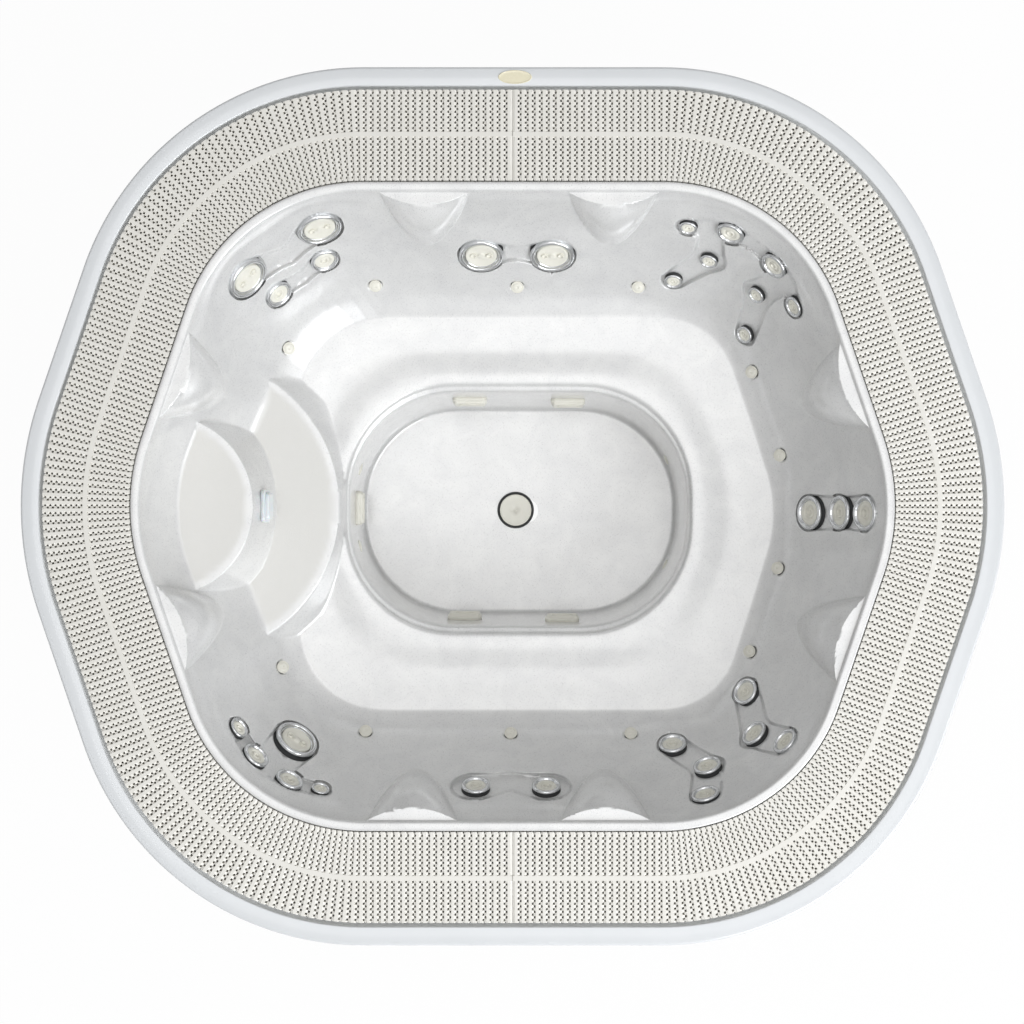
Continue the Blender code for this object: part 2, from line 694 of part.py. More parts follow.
def seated(mesh, frame):
    mesh.transform(frame)
    return mesh


# The profile of a disc moulded onto the shell
def nozzle_mesh(height):
    radius = NOZZLE_DIAMETER / 2
    crown = radius * NOZZLE_CROWN_SHARE
    profile = [(0, height), (crown, height), (radius, 0), (radius, -NOZZLE_ROOT), (0, -NOZZLE_ROOT)]
    return turned("nozzle", profile, NOZZLE_SEGMENTS)


nozzles = []
for run, drop in NOZZLE_SPOT_SHARES:
    nozzles.append(seated(nozzle_mesh(NOZZLE_HEIGHT), seat_on_back(run, drop, NOZZLE_DIAMETER)))
for run, drop in WALL_NOZZLE_SPOT_SHARES:
    nozzles.append(seated(nozzle_mesh(WALL_NOZZLE_HEIGHT), seat_on_footwell(run, drop, NOZZLE_DIAMETER)))

# Large fittings get a flat seat and a hole in the shell, small ones a hole
cuts = []


# The radius whose flats clear a turning many-sided round of the given radius
def clear_round(radius, gap, segments):
    return (radius + gap) / math.cos(math.pi / segments)


def seat_cut(radius, barrel, segments, frame):
    face = clear_round(radius, SEAT_MARGIN, segments)
    bore = clear_round(barrel, CLEARANCE, segments)
    profile = [(0, CUT_REACH), (face, CUT_REACH), (face, -CLEARANCE)]
    profile += [(bore, -CLEARANCE), (bore, -CUT_REACH), (0, -CUT_REACH)]
    cuts.append(seated(turned("seat", profile, segments), frame))


def hole_cut(barrel, segments, frame):
    bore = clear_round(barrel, CLEARANCE, segments)
    profile = [(0, HOLE_REACH), (bore, HOLE_REACH), (bore, -CUT_REACH), (0, -CUT_REACH)]
    cuts.append(seated(turned("hole", profile, segments), frame))


# How far a flat round face must stand off for its edge to clear the shell
def stand_off(frame, radius):
    axis = (frame.to_3x3() @ Vector((0, 0, 1))).normalized()
    highest = 0
    for turn in range(STAND_OFF_PROBES):
        angle = 2 * math.pi * turn / STAND_OFF_PROBES
        for share in STAND_OFF_RADIUS_SHARES:
            reach_out = radius * share
            edge = frame @ Vector((math.cos(angle) * reach_out, math.sin(angle) * reach_out, HOLE_REACH))
            spot, _, _, _ = SURFACE.ray_cast(edge, -axis)
            if spot is not None:
                highest = max(highest, (spot - frame.translation).dot(axis))
    return highest + CLEARANCE


# Large jets: a fixed ring and barrel with a turning face that has two ports
def large_jet(name, run_share, wall_share):
    radius = LARGE_JET / 2
    face = radius * FACE_HEIGHT_SHARE
    barrel = radius * LARGE_BARREL_SHARE
    bore = radius * ROTOR_SHARE
    frame = seat_on_back(run_share, wall_share, LARGE_JET)
    seat_cut(radius, barrel, LARGE_SEGMENTS, frame)
    profile = [
        (0, -ROTOR_DEPTH), (bore, -ROTOR_DEPTH), (bore, face), (radius * RING_FLAT_SHARE, face), (radius, 0),
        (barrel, 0), (barrel, -BARREL_LENGTH), (0, -BARREL_LENGTH),
    ]
    body = place(name + "_body", turned(name, profile, LARGE_SEGMENTS), STEEL, True)
    body.matrix_world = frame
    rim = bore * math.cos(math.pi / LARGE_SEGMENTS) - CLEARANCE
    root = CLEARANCE - ROTOR_DEPTH
    profile = [(share * radius, level * face) for share, level in ROTOR_SECTION_SHARES]
    profile += [(rim, profile[-1][1]), (rim, root), (0, root)]
    rotor = place(name + "_rotor", turned(name, profile, LARGE_SEGMENTS), CREAM, True)
    port_radius = radius * PORT_RADIUS_SHARE
    for side in (1, -1):
        profile = [(0, CUT_REACH), (port_radius, CUT_REACH), (port_radius, -PORT_DEPTH), (0, -PORT_DEPTH)]
        port = turned("port", profile, PORT_SEGMENTS)
        port.transform(Matrix.Translation(Vector((side * radius * PORT_OFFSET_SHARE, 0, 0))))
        combine(rotor, as_cutter(name + "_port", port), "DIFFERENCE")
    rotor.matrix_world = frame


# Small jets: a dished twist face on a barrel, all one piece
def small_jet(name, run_share, wall_share, diameter):
    radius = diameter / 2
    face = radius * FACE_HEIGHT_SHARE
    barrel = radius * SMALL_BARREL_SHARE
    frame = seat_on_back(run_share, wall_share, diameter)
    lift = stand_off(frame, radius + SEAT_MARGIN)
    if lift > MOST_STAND_OFF:
        lift = 0
        seat_cut(radius, barrel, SMALL_SEGMENTS, frame)
    else:
        hole_cut(barrel, SMALL_SEGMENTS, frame)
    profile = [(share * radius, level * face) for share, level in SMALL_FACE_SECTION_SHARES]
    profile += [(radius, 0), (barrel, 0), (barrel, -BARREL_LENGTH), (0, -BARREL_LENGTH)]
    jet = place(name, turned(name, profile, SMALL_SEGMENTS), STEEL, True)
    jet.matrix_world = frame @ Matrix.Translation(Vector((0, 0, lift)))


for row in LARGE_JET_SHARES:
    large_jet(*row)
for row in SMALL_JET_SHARES:
    small_jet(*row)


def rounded_rectangle(length, width, corner, level):
    outline = rounded_polygon(rectangle(length, width), [corner] * 4, COVER_CORNER_STEPS)
    return [Vector((spot.x, spot.y, level)) for spot in outline]


# Covers: a block with rounded corners and a smaller crown, let into a flat seat
def cover(name, length, width, height, frame):
    crown_length = length - 2 * COVER_TAPER
    crown_width = width - 2 * COVER_TAPER
    base = rounded_rectangle(length, width, COVER_CORNER, CLEARANCE)
    shoulder = rounded_rectangle(length, width, COVER_CORNER, height * COVER_SHOULDER_SHARE)
    crown = rounded_rectangle(crown_length, crown_width, COVER_CORNER - COVER_TAPER / 2, height)
    item = place(name, loft(name, [base, shoulder, crown]), CREAM)
    item.matrix_world = frame
    seat_length = length + 2 * SEAT_MARGIN
    seat_width = width + 2 * SEAT_MARGIN
    low = rounded_rectangle(seat_length, seat_width, COVER_CORNER, 0)
    high = rounded_rectangle(seat_length, seat_width, COVER_CORNER, height)
    cuts.append(seated(loft("cover_seat", [low, high]), frame))


for name, run_share, drop_share in COVER_SPOT_SHARES:
    frame = seat_on_footwell(run_share, drop_share, COVER_CORNER)
    cover(name, COVER_LENGTH, COVER_WIDTH, COVER_HEIGHT, frame)
light_level = UPPER_TREAD_DEPTH + (LOWER_TREAD_DEPTH - UPPER_TREAD_DEPTH) * LIGHT_DROP_SHARE
light_start = Vector((BASIN_CENTRE_X, STEP_CENTRE_Y, OVERALL_HEIGHT - light_level))
light_frame = seat_frame(light_start, Vector((-1, 0, 0)), COVER_CORNER)
cover("step_light", LIGHT_LENGTH, LIGHT_WIDTH, LIGHT_HEIGHT, light_frame)

# Drain: a low disc over a tail that passes through the floor
drain_frame = Matrix.Translation(Vector((0, 0, OVERALL_HEIGHT - FLOOR_DEPTH)))
drain_radius = DRAIN_DIAMETER / 2
tail = DRAIN_TAIL_DIAMETER / 2
profile = [(share * drain_radius, level * DRAIN_HEIGHT) for share, level in DRAIN_SECTION_SHARES]
profile += [(drain_radius, CLEARANCE), (tail, CLEARANCE)]
profile += [(tail, -DRAIN_TAIL_LENGTH), (0, -DRAIN_TAIL_LENGTH)]
drain = place("drain_cover", turned("drain_cover", profile, LARGE_SEGMENTS), CREAM, True)
drain.matrix_world = drain_frame
bore = tail + CLEARANCE
profile = [(0, HOLE_REACH), (bore, HOLE_REACH), (bore, -DRAIN_TAIL_LENGTH), (0, -DRAIN_TAIL_LENGTH)]
cuts.append(seated(turned("drain_hole", profile, LARGE_SEGMENTS), drain_frame))

for number, cut in enumerate(cuts):
    combine(basin_shell, as_cutter("seat_cut_%02d" % number, cut), "DIFFERENCE")
for number, nozzle in enumerate(nozzles):
    combine(basin_shell, as_cutter("nozzle_%02d" % number, nozzle), "UNION")
basin_shell.data.materials.clear()
basin_shell.data.materials.append(finish_material("pearl_acrylic", *PEARL))

# Overflow channel: one section swept round the outer edge
upstand = LIP_OUTER_INSET - UPSTAND_GAP
upstand_back = upstand + UPSTAND_WIDTH
outer_wall = RIM_WIDTH + LEDGE_WIDTH
inner_wall = upstand - LEDGE_WIDTH
lip_underside = SHELL_THICKNESS + CLEARANCE
skin = CHANNEL_THICKNESS
CHANNEL_SECTION = [
    (0, SKIRT_DEPTH), (0, RIM_EDGE_ROUND), (RIM_EDGE_ROUND, 0), (RIM_WIDTH, 0), (RIM_WIDTH, LEDGE_DEPTH),
    (outer_wall, LEDGE_DEPTH), (outer_wall + CHANNEL_WALL_LEAN, CHANNEL_DEPTH),
    (inner_wall - CHANNEL_WALL_LEAN, CHANNEL_DEPTH), (inner_wall, LEDGE_DEPTH), (upstand, LEDGE_DEPTH),
    (upstand, lip_underside), (upstand_back, lip_underside), (upstand_back, LEDGE_DEPTH + skin),
    (inner_wall + skin, LEDGE_DEPTH + skin), (inner_wall + skin - CHANNEL_WALL_LEAN, CHANNEL_DEPTH + skin),
    (outer_wall - skin + CHANNEL_WALL_LEAN, CHANNEL_DEPTH + skin), (outer_wall - skin, LEDGE_DEPTH + skin),
    (RIM_WIDTH - skin, LEDGE_DEPTH + skin), (RIM_WIDTH - skin, skin), (skin, skin), (skin, SKIRT_DEPTH),
]
runs = edge_runs()
rings = [[at_depth(edge_point(run, inset), depth) for run in runs] for inset, depth in CHANNEL_SECTION]
channel_mesh = loft("overflow_channel", rings, False, False, closed_loop=True)
overflow_channel = place("overflow_channel", channel_mesh, RIM_WHITE)

# Channel outlets: flanged spigots through the channel floor
channel_middle = (outer_wall + inner_wall) / 2


def channel_outlet(name, run):
    outer = OUTLET_DIAMETER / 2
    inner = outer - OUTLET_WALL
    flange = outer + OUTLET_FLANGE_WIDTH
    spot = at_depth(edge_point(run, channel_middle), CHANNEL_DEPTH)
    frame = Matrix.Translation(spot) @ Matrix.Rotation(math.pi / OUTLET_SEGMENTS, 4, "Z")
    bore = outer + CLEARANCE
    profile = [(0, OUTLET_WALL), (bore, OUTLET_WALL), (bore, -OUTLET_LENGTH), (0, -OUTLET_LENGTH)]
    hole = seated(turned(name, profile, OUTLET_SEGMENTS), frame)
    combine(overflow_channel, as_cutter(name + "_hole", hole), "DIFFERENCE")
    profile = [
        (inner, OUTLET_WALL), (flange, OUTLET_WALL), (flange, CLEARANCE), (outer, CLEARANCE),
        (outer, -OUTLET_LENGTH), (inner, -OUTLET_LENGTH), (inner, OUTLET_WALL),
    ]
    outlet = place(name, turned(name, profile, OUTLET_SEGMENTS), PIPE_WHITE, True)
    outlet.matrix_world = frame


channel_outlet("channel_outlet_right", 0)
channel_outlet("channel_outlet_left", 2 * QUARTER_RUN)
overflow_channel.data.materials.clear()
overflow_channel.data.materials.append(finish_material("rim_acrylic", *RIM_WHITE))


# Grating: a comb of rib bundles on both sides of a spine, in two halves that meet on the long sides
def comb_side(start, end, root, tip):
    pitch = (end - start) / RIBS_PER_HALF
    points = []
    for rib in range(RIBS_PER_HALF):
        first = start + pitch * (rib + (1 - RIB_WIDTH_SHARE) / 2)
        last = first + pitch * RIB_WIDTH_SHARE
        points += [edge_point(first, root), edge_point(first, tip)]
        points += [edge_point(last, tip), edge_point(last, root)]
    return points


grating_low = OVERALL_HEIGHT - GRATING_THICKNESS - CLEARANCE
grating_high = OVERALL_HEIGHT - CLEARANCE
for name, start in (("grating_right", -QUARTER_RUN), ("grating_left", QUARTER_RUN)):
    first = start + GRATING_END_GAP
    last = start + 2 * QUARTER_RUN - GRATING_END_GAP
    outer = comb_side(first, last, SPINE_INSET - SPINE_WIDTH / 2, GRATING_OUTER_INSET)
    inner = comb_side(first, last, SPINE_INSET + SPINE_WIDTH / 2, GRATING_INNER_INSET)
    place(name, plate(name, outer + list(reversed(inner)), grating_low, grating_high), GRATING_WHITE)

# Rim badge: stacked ovals
rings = []
shoulder = BADGE_HEIGHT * COVER_SHOULDER_SHARE
for size_share, level in ((1, CLEARANCE), (1, shoulder), (BADGE_CROWN_SHARE, BADGE_HEIGHT)):
    ring = []
    for i in range(LARGE_SEGMENTS):
        angle = 2 * math.pi * i / LARGE_SEGMENTS
        x = BADGE_LENGTH / 2 * size_share * math.cos(angle)
        y = BADGE_WIDTH / 2 * size_share * math.sin(angle)
        ring.append(Vector((x, y, level)))
    rings.append(ring)
badge = place("rim_badge", loft("rim_badge", rings), CREAM)
badge.location = (BADGE_X, edge_point(QUARTER_RUN, RIM_WIDTH / 2 + BADGE_OFFSET).y, OVERALL_HEIGHT)


def square_ring(size, level):
    return [Vector((x, y, level)) for x, y in rectangle(size, size)]


# Levelling legs: a tube with a plate at each end, under the channel floor
leg_top = OVERALL_HEIGHT - CHANNEL_DEPTH - CHANNEL_THICKNESS - CLEARANCE
upper_plate = leg_top - LEG_PLATE_THICKNESS
leg_levels = [
    (LEG_PLATE, 0), (LEG_PLATE, LEG_PLATE_THICKNESS), (LEG_TUBE, LEG_PLATE_THICKNESS),
    (LEG_TUBE, upper_plate), (LEG_PLATE, upper_plate), (LEG_PLATE, leg_top),
]
for number in range(LEG_COUNT):
    spot = edge_point(WHOLE_RUN * (number + LEG_START_SHARE) / LEG_COUNT, channel_middle)
    rings = [square_ring(size, level) for size, level in leg_levels]
    leg = place("leg_%d" % (number + 1), loft("leg", rings), GALVANISED)
    leg.location = (spot.x, spot.y, 0)


# Floor bearers: open box sections under the footwell floor
def bearer(name, offset):
    rings = []
    top = OVERALL_HEIGHT - FLOOR_DEPTH - SHELL_THICKNESS - CLEARANCE
    for inset, end in ((0, -1), (0, 1), (BEARER_WALL, 1), (BEARER_WALL, -1)):
        half = BEARER_WIDTH / 2 - inset
        y = end * BEARER_LENGTH / 2
        low = inset
        high = top - inset
        section = ((-half, low), (half, low), (half, high), (-half, high))
        rings.append([Vector((x, y, level)) for x, level in section])
    item = place(name, loft(name, rings, False, False, closed_loop=True), GALVANISED)
    item.location = (BASIN_CENTRE_X + offset, BASIN_CENTRE_Y, 0)


bearer("bearer_left", -BEARER_SPACING / 2)
bearer("bearer_right", BEARER_SPACING / 2)
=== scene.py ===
import json
import math
import bmesh
import bpy
import numpy as np
from mathutils import Matrix, Vector


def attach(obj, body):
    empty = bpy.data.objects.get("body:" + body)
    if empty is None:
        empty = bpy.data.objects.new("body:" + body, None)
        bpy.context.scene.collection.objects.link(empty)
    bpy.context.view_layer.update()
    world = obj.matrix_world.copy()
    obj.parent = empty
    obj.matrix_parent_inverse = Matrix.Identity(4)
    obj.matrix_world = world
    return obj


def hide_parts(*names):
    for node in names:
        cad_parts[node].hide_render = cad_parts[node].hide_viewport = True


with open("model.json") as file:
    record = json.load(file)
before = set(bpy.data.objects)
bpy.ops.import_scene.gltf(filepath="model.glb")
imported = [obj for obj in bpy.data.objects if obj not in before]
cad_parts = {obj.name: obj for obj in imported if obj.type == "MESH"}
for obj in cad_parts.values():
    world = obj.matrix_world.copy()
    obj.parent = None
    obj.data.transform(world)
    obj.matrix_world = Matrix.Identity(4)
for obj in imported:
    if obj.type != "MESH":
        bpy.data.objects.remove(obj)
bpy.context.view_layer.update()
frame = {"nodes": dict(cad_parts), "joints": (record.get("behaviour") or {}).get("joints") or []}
scene = bpy.context.scene

# Basin: one vacuum-formed sheet of pearl acrylic backed with glass fibre, from the overflow lip
# over the seat backs, benches, entry steps and jet pockets down to the footwell floor.
# It hangs by its lip on the overflow channel and rests on the bearers under the footwell.
LENGTH = 2.8
WIDTH = 2.5
TOP = 1.00
SIDE_TILT = math.radians(18.89)
CORNER_RADIUS = 0.8435
APEX_RADIUS = 0.9476
LONG_SIDE_EXTRA = 0.045
apex_x = LENGTH / 2 + APEX_RADIUS * (1 / math.cos(SIDE_TILT) - 1)
apex_centre = np.array((apex_x - APEX_RADIUS / math.cos(SIDE_TILT), 0))
corner_tangent = CORNER_RADIUS * math.tan((math.pi / 2 - SIDE_TILT) / 2)
corner_x = apex_x - WIDTH / 2 * math.tan(SIDE_TILT) - corner_tangent
corner_centre = np.array((corner_x, WIDTH / 2 - CORNER_RADIUS))
side_normal = np.array((math.cos(SIDE_TILT), math.sin(SIDE_TILT)))
side_start = corner_centre + CORNER_RADIUS * side_normal
side_run = np.linalg.norm(side_start - apex_centre - APEX_RADIUS * side_normal)
APEX_RUN = APEX_RADIUS * SIDE_TILT
CORNER_RUN = CORNER_RADIUS * (math.pi / 2 - SIDE_TILT)
QUARTER_RUN = APEX_RUN + side_run + CORNER_RUN + corner_centre[0]
WHOLE_RUN = 4 * QUARTER_RUN


# Points moved inward from the outer edge, for runs walked from the right apex
def edge_points(runs, inset):
    runs = np.asarray(runs, float) % WHOLE_RUN
    quarter = np.minimum((runs // QUARTER_RUN).astype(int), 3)
    within = runs - quarter * QUARTER_RUN
    within = np.where(quarter % 2, QUARTER_RUN - within, within)
    turn = np.clip(within / APEX_RADIUS, 0, SIDE_TILT)
    turn += np.clip((within - APEX_RUN - side_run) / CORNER_RADIUS, 0, math.pi / 2 - SIDE_TILT)
    normal = np.stack((np.cos(turn), np.sin(turn)), -1)
    start = np.where((within < APEX_RUN)[..., None], apex_centre + APEX_RADIUS * normal, 0)
    along = np.clip(within - APEX_RUN, 0, side_run)[..., None]
    side = apex_centre + APEX_RADIUS * side_normal + along * np.array((-side_normal[1], side_normal[0]))
    straight = np.clip(within - APEX_RUN - side_run - CORNER_RUN, 0, None)
    corner = corner_centre + CORNER_RADIUS * normal - np.stack((straight, 0 * straight), -1)
    on_side = (within >= APEX_RUN) & (within < APEX_RUN + side_run)
    spot = np.where(on_side[..., None], side, np.where((within < APEX_RUN)[..., None], start, corner))
    spot = spot - normal * (np.asarray(inset, float) * (1 + LONG_SIDE_EXTRA * normal[..., 1] ** 2))[..., None]
    side_x = np.where((quarter == 0) | (quarter == 3), 1, -1)
    side_y = np.where(quarter < 2, 1, -1)
    return spot * np.stack((side_x, side_y), -1)


# A polygon with rounded corners, corners and radii in metres
def rounded_polygon(corners, radii, steps=12):
    points = []
    for i, corner in enumerate(corners):
        corner = Vector(corner)
        back = (Vector(corners[i - 1]) - corner).normalized()
        ahead = (Vector(corners[(i + 1) % len(corners)]) - corner).normalized()
        half = back.angle(ahead) / 2
        cut = radii[i] / math.tan(half)
        middle = corner + (back + ahead).normalized() * radii[i] / math.sin(half)
        first = corner + back * cut - middle
        last = corner + ahead * cut - middle
        points += [middle + first.slerp(last, k / steps) * radii[i] for k in range(steps + 1)]
    return points


LIP_OUTER = 0.3125
LIP_INNER = 0.339
LIP_DROP = 0.01
CREASE_DEPTH = 0.462
SEAT_DEPTH = 0.478
SEAT_DISH = 0.009
FLOOR_DEPTH = 0.885
CENTRE = Vector((0.012, -0.002))
CENTRE_SPOT = np.array(CENTRE)
CREASE_CORNERS = [
    (0.596, -0.009), (0.454, 0.485), (-0.4856, 0.485), (-0.4856, 0.236), (-0.59, 0.0),
    (-0.4833, -0.286), (-0.4833, -0.512), (0.4596, -0.512),
]
CREASE_RADII = [0.315, 0.194, 0.23, 0.08, 0.24, 0.08, 0.208, 0.194]
OUTLINE_STEP = 0.004
BENCH_EDGE = (1.048, 0.757, 0.33)
FLOOR_EDGE = (0.988, 0.64, 0.3)


# The distance from the basin's centre to a closed outline, as a table over the angle
def polar_table(outline):
    fine = []
    for i, start in enumerate(outline):
        end = Vector(outline[(i + 1) % len(outline)])
        count = max(1, int((end - Vector(start)).length / OUTLINE_STEP))
        fine += [Vector(start).lerp(end, k / count) - CENTRE for k in range(count)]
    angles = np.array([math.atan2(spot.y, spot.x) for spot in fine])
    reaches = np.array([spot.length for spot in fine])
    order = np.argsort(angles)
    return angles[order], reaches[order]


def stadium(length, width, radius):
    x, y = length / 2, width / 2
    return [CENTRE + spot for spot in rounded_polygon([(x, y), (-x, y), (-x, -y), (x, -y)], [radius] * 4)]


LIP_SAMPLES = 1600
lip_runs = np.linspace(0, WHOLE_RUN, LIP_SAMPLES, False)
lip_outline = [tuple(spot) for spot in edge_points(lip_runs, np.full(LIP_SAMPLES, LIP_INNER))]
crease_corners = [(x * LENGTH / 2, y * WIDTH / 2) for x, y in CREASE_CORNERS]
crease_outline = rounded_polygon(crease_corners, [share * WIDTH / 2 for share in CREASE_RADII])
outlines = (lip_outline, crease_outline, stadium(*BENCH_EDGE), stadium(*FLOOR_EDGE))
STATIONS = [polar_table(outline) for outline in outlines]


def station_reaches(angle):
    return [np.interp(angle, angles, reaches, period=2 * math.pi) for angles, reaches in STATIONS]


# How far a place is across the basin: 0 at the lip, 1 at the crease, 2 at the bench edge,
# 3 at the floor edge, 4 in the middle
def crossing(x, y):
    out_x, out_y = x - CENTRE.x, y - CENTRE.y
    reach = np.hypot(out_x, out_y)
    lip, crease, bench, floor = station_reaches(np.arctan2(out_y, out_x))
    wall = (lip - reach) / (lip - crease)
    seat = 1 + (crease - reach) / (crease - bench)
    well = 2 + (bench - reach) / (bench - floor)
    inner = 3 + (floor - reach) / floor
    return np.select([reach >= crease, reach >= bench, reach >= floor], [wall, seat, well], inner)


# A smooth rising or falling curve through knots, without overshoot
def through(knots, at):
    x, y = np.array(knots, float).T
    step = np.diff(x)
    slope = np.diff(y) / step
    tangent = np.zeros_like(x)
    same = slope[:-1] * slope[1:] > 0
    before, after = 2 * step[1:] + step[:-1], step[1:] + 2 * step[:-1]
    safe = np.where(same, slope[:-1], 1), np.where(same, slope[1:], 1)
    tangent[1:-1] = np.where(same, (before + after) / (before / safe[0] + after / safe[1]), 0)
    tangent[0], tangent[-1] = slope[0], slope[-1]
    i = np.clip(np.searchsorted(x, at) - 1, 0, len(step) - 1)
    t = np.clip((at - x[i]) / step[i], 0, 1)
    return (y[i] * (1 + 2 * t) * (1 - t) ** 2 + y[i + 1] * t * t * (3 - 2 * t)
            + step[i] * (tangent[i] * t * (1 - t) ** 2 + tangent[i + 1] * t * t * (t - 1)))


drop = CREASE_DEPTH - LIP_DROP
WALL_SHARES = [(0, 0), (0.03, 0.1), (0.13, 0.24), (0.24, 0.37), (0.4, 0.54), (0.64, 0.77), (0.88, 0.95)]
DISH_START = 1.12
DISH_RUN = 0.8
DISH_STEPS = 12
dish = [
    (DISH_START + DISH_RUN * k / DISH_STEPS, SEAT_DEPTH + SEAT_DISH * math.sin(math.pi * k / DISH_STEPS) ** 2)
    for k in range(DISH_STEPS + 1)
]
SECTION = [(across, LIP_DROP + drop * down) for across, down in WALL_SHARES] + [(1, CREASE_DEPTH)] + dish + [
    (2.0, SEAT_DEPTH + 0.003), (2.06, SEAT_DEPTH + 0.016), (2.3, SEAT_DEPTH + 0.022), (2.4, 0.535),
    (2.55, 0.66), (2.86, 0.857), (2.95, 0.882), (3.02, FLOOR_DEPTH), (4, FLOOR_DEPTH),
]


def plain_height(x, y):
    return TOP - through(SECTION, crossing(x, y))


# The higher of two surfaces with a fillet where they meet
def smooth_max(a, b, fillet):
    near = np.clip(fillet - np.abs(a - b), 0, None) / fillet
    return np.maximum(a, b) + near * near * fillet / 4


# Entry steps: half discs in front of straight runs back to the wall; reach from the lip, radius, riser run
# in the middle and at the horns, depth, depth of the foot
STEPS = [(0.536, 0.453, 0.014, 0.056, 0.4, 0.495), (0.3, 0.267, 0.046, 0.06, 0.2, 0.41)]
STEP_MIDDLE = 0.005
NOSE_ROUND = 0.006
STEP_FILLET = 0.018
LEAST_FILLET = 0.002
HORN_SHARE = 0.7
RISER_SHARE = 1.3
RISER_END = 8


# How far a place lies outside a step's nose
def past_nose(x, y, reach, radius):
    middle = LIP_INNER - LENGTH / 2 + reach - radius
    return np.hypot(np.clip(x - middle, 0, None), y - STEP_MIDDLE) - radius


def with_steps(x, y, height):
    for reach, radius, middle_run, horn_run, depth, foot in STEPS:
        past = past_nose(x, y, reach, radius)
        beside = np.clip(np.abs(y - STEP_MIDDLE) / radius / HORN_SHARE, 0, 1)
        riser_run = middle_run + (horn_run - middle_run) * beside ** 2
        beyond = np.clip(past - riser_run * RISER_SHARE, 0, None)
        riser = TOP - depth - past * (foot - depth) / riser_run - RISER_END * beyond
        fillet = LEAST_FILLET + STEP_FILLET * np.clip((np.abs(past) - NOSE_ROUND) / STEP_FILLET, 0, 1)
        height = smooth_max(height, -smooth_max(0 * x - TOP + depth, -riser, NOSE_ROUND), fillet)
    return height


# Neck rests: a flat bright crescent along the lip over a pad that narrows downward
REST_RUNS = [0.054, 0.217, 0.279, 0.4425, 0.554, 0.717, 0.7805, 0.942]
REST_LENGTH = 0.262
REST_BOW = 0.121
REST_REACH = REST_BOW * 1.3
LEAST_BOW = 0.0005
REST_DEPTH = 0.013
REST_HEIGHT = 0.25
REST_SHARES = [(0, 0), (0.3, 0), (0.34, 0.02), (0.7, 0.19), (0.93, 0.47), (1, 1), (1.2, 2.2)]
REST_FILLET = 0.01


def with_neck_rests(x, y, height):
    for share in REST_RUNS:
        run = share * WHOLE_RUN
        middle, edge = edge_points([run, run], [LIP_INNER, 0])
        inward = (middle - edge) / np.linalg.norm(middle - edge)
        along = (x - middle[0]) * -inward[1] + (y - middle[1]) * inward[0]
        inside = (x - middle[0]) * inward[0] + (y - middle[1]) * inward[1]
        bow = REST_BOW * (1 - (2 * along / REST_LENGTH) ** 2)
        near = (np.abs(inside) < REST_REACH) & (bow > LEAST_BOW)
        out = np.clip(inside / np.where(near, bow, 1), 0, 1.2)
        pad = TOP - REST_DEPTH - REST_HEIGHT * through(REST_SHARES, out)
        height = np.where(near, smooth_max(height, pad, REST_FILLET), height)
    return height


# Where each jet sits: its middle and the way it faces, from its joint
jets = {}
for joint in frame["joints"]:
    if joint["type"] == "hinge":
        middle = Vector(joint["pos_m"])
        facing = Vector(joint["axis"]).normalized()
        node = frame["nodes"][joint["child"]]
        ring = frame["nodes"].get(joint["child"].replace("_rotor", "_body"), node)
        offsets = [vertex.co - middle for vertex in ring.data.vertices]
        radius = max((offset - facing * offset.dot(facing)).length for offset in offsets)
        jets[joint["child"].replace("_rotor", "")] = (middle, facing, radius)

# Jet pockets: jets of a group share a moulded recess. Each chain lists places, as a jet or a spot,
# and the recess's half width there.
POCKETS = [
    [("large_left_top", 0.07), ((-0.655, 0.735), 0.04), ("large_left_side", 0.07)],
    [("upper_left_1", 0.047), ((-0.625, 0.68), 0.03), ("upper_left_2", 0.047)],
    [("large_top_left", 0.072), ((0.008, 0.752), 0.034), ("large_top_right", 0.072)],
    [("upper_right_1", 0.042), ((0.575, 0.806), 0.04), ("upper_right_2", 0.046),
     ((0.705, 0.752), 0.032), ("upper_right_5", 0.046), ((0.795, 0.65), 0.036),
     ("upper_right_7", 0.04)],
    [((0.575, 0.806), 0.04), ("upper_right_3", 0.05), ("upper_right_4", 0.043)],
    [((0.785, 0.66), 0.042), ("upper_right_6", 0.05), ("upper_right_8", 0.041)],
    [("right_1", 0.058), ("right_2", 0.05), ("right_3", 0.058)],
    [("lower_right_1", 0.051), ("lower_right_2", 0.051), ("lower_right_3", 0.052)],
    [("lower_right_4", 0.051), ("lower_right_5", 0.053), ("lower_right_6", 0.05)],
    [("bottom_1", 0.078), ((-0.008, -0.803), 0.05), ("bottom_2", 0.078)],
    [("lower_left_1", 0.042), ("lower_left_2", 0.045), ("lower_left_3", 0.045),
     ("lower_left_4", 0.038)],
    [((-0.705, -0.752), 0.058), ("large_bottom_left", 0.076)],
]
POCKET_INSET = 0.008
POCKET_RAISE = 0.008
RAISE_START = 0.06
RAISE_END = 1.02
RAISE_FADE = 0.1
POCKET_FADE = 0.055
POCKET_BLEND = 0.02
LIP_LEDGE = 0.009
BENCH_LEDGE = 0.024
PROBE = 0.002


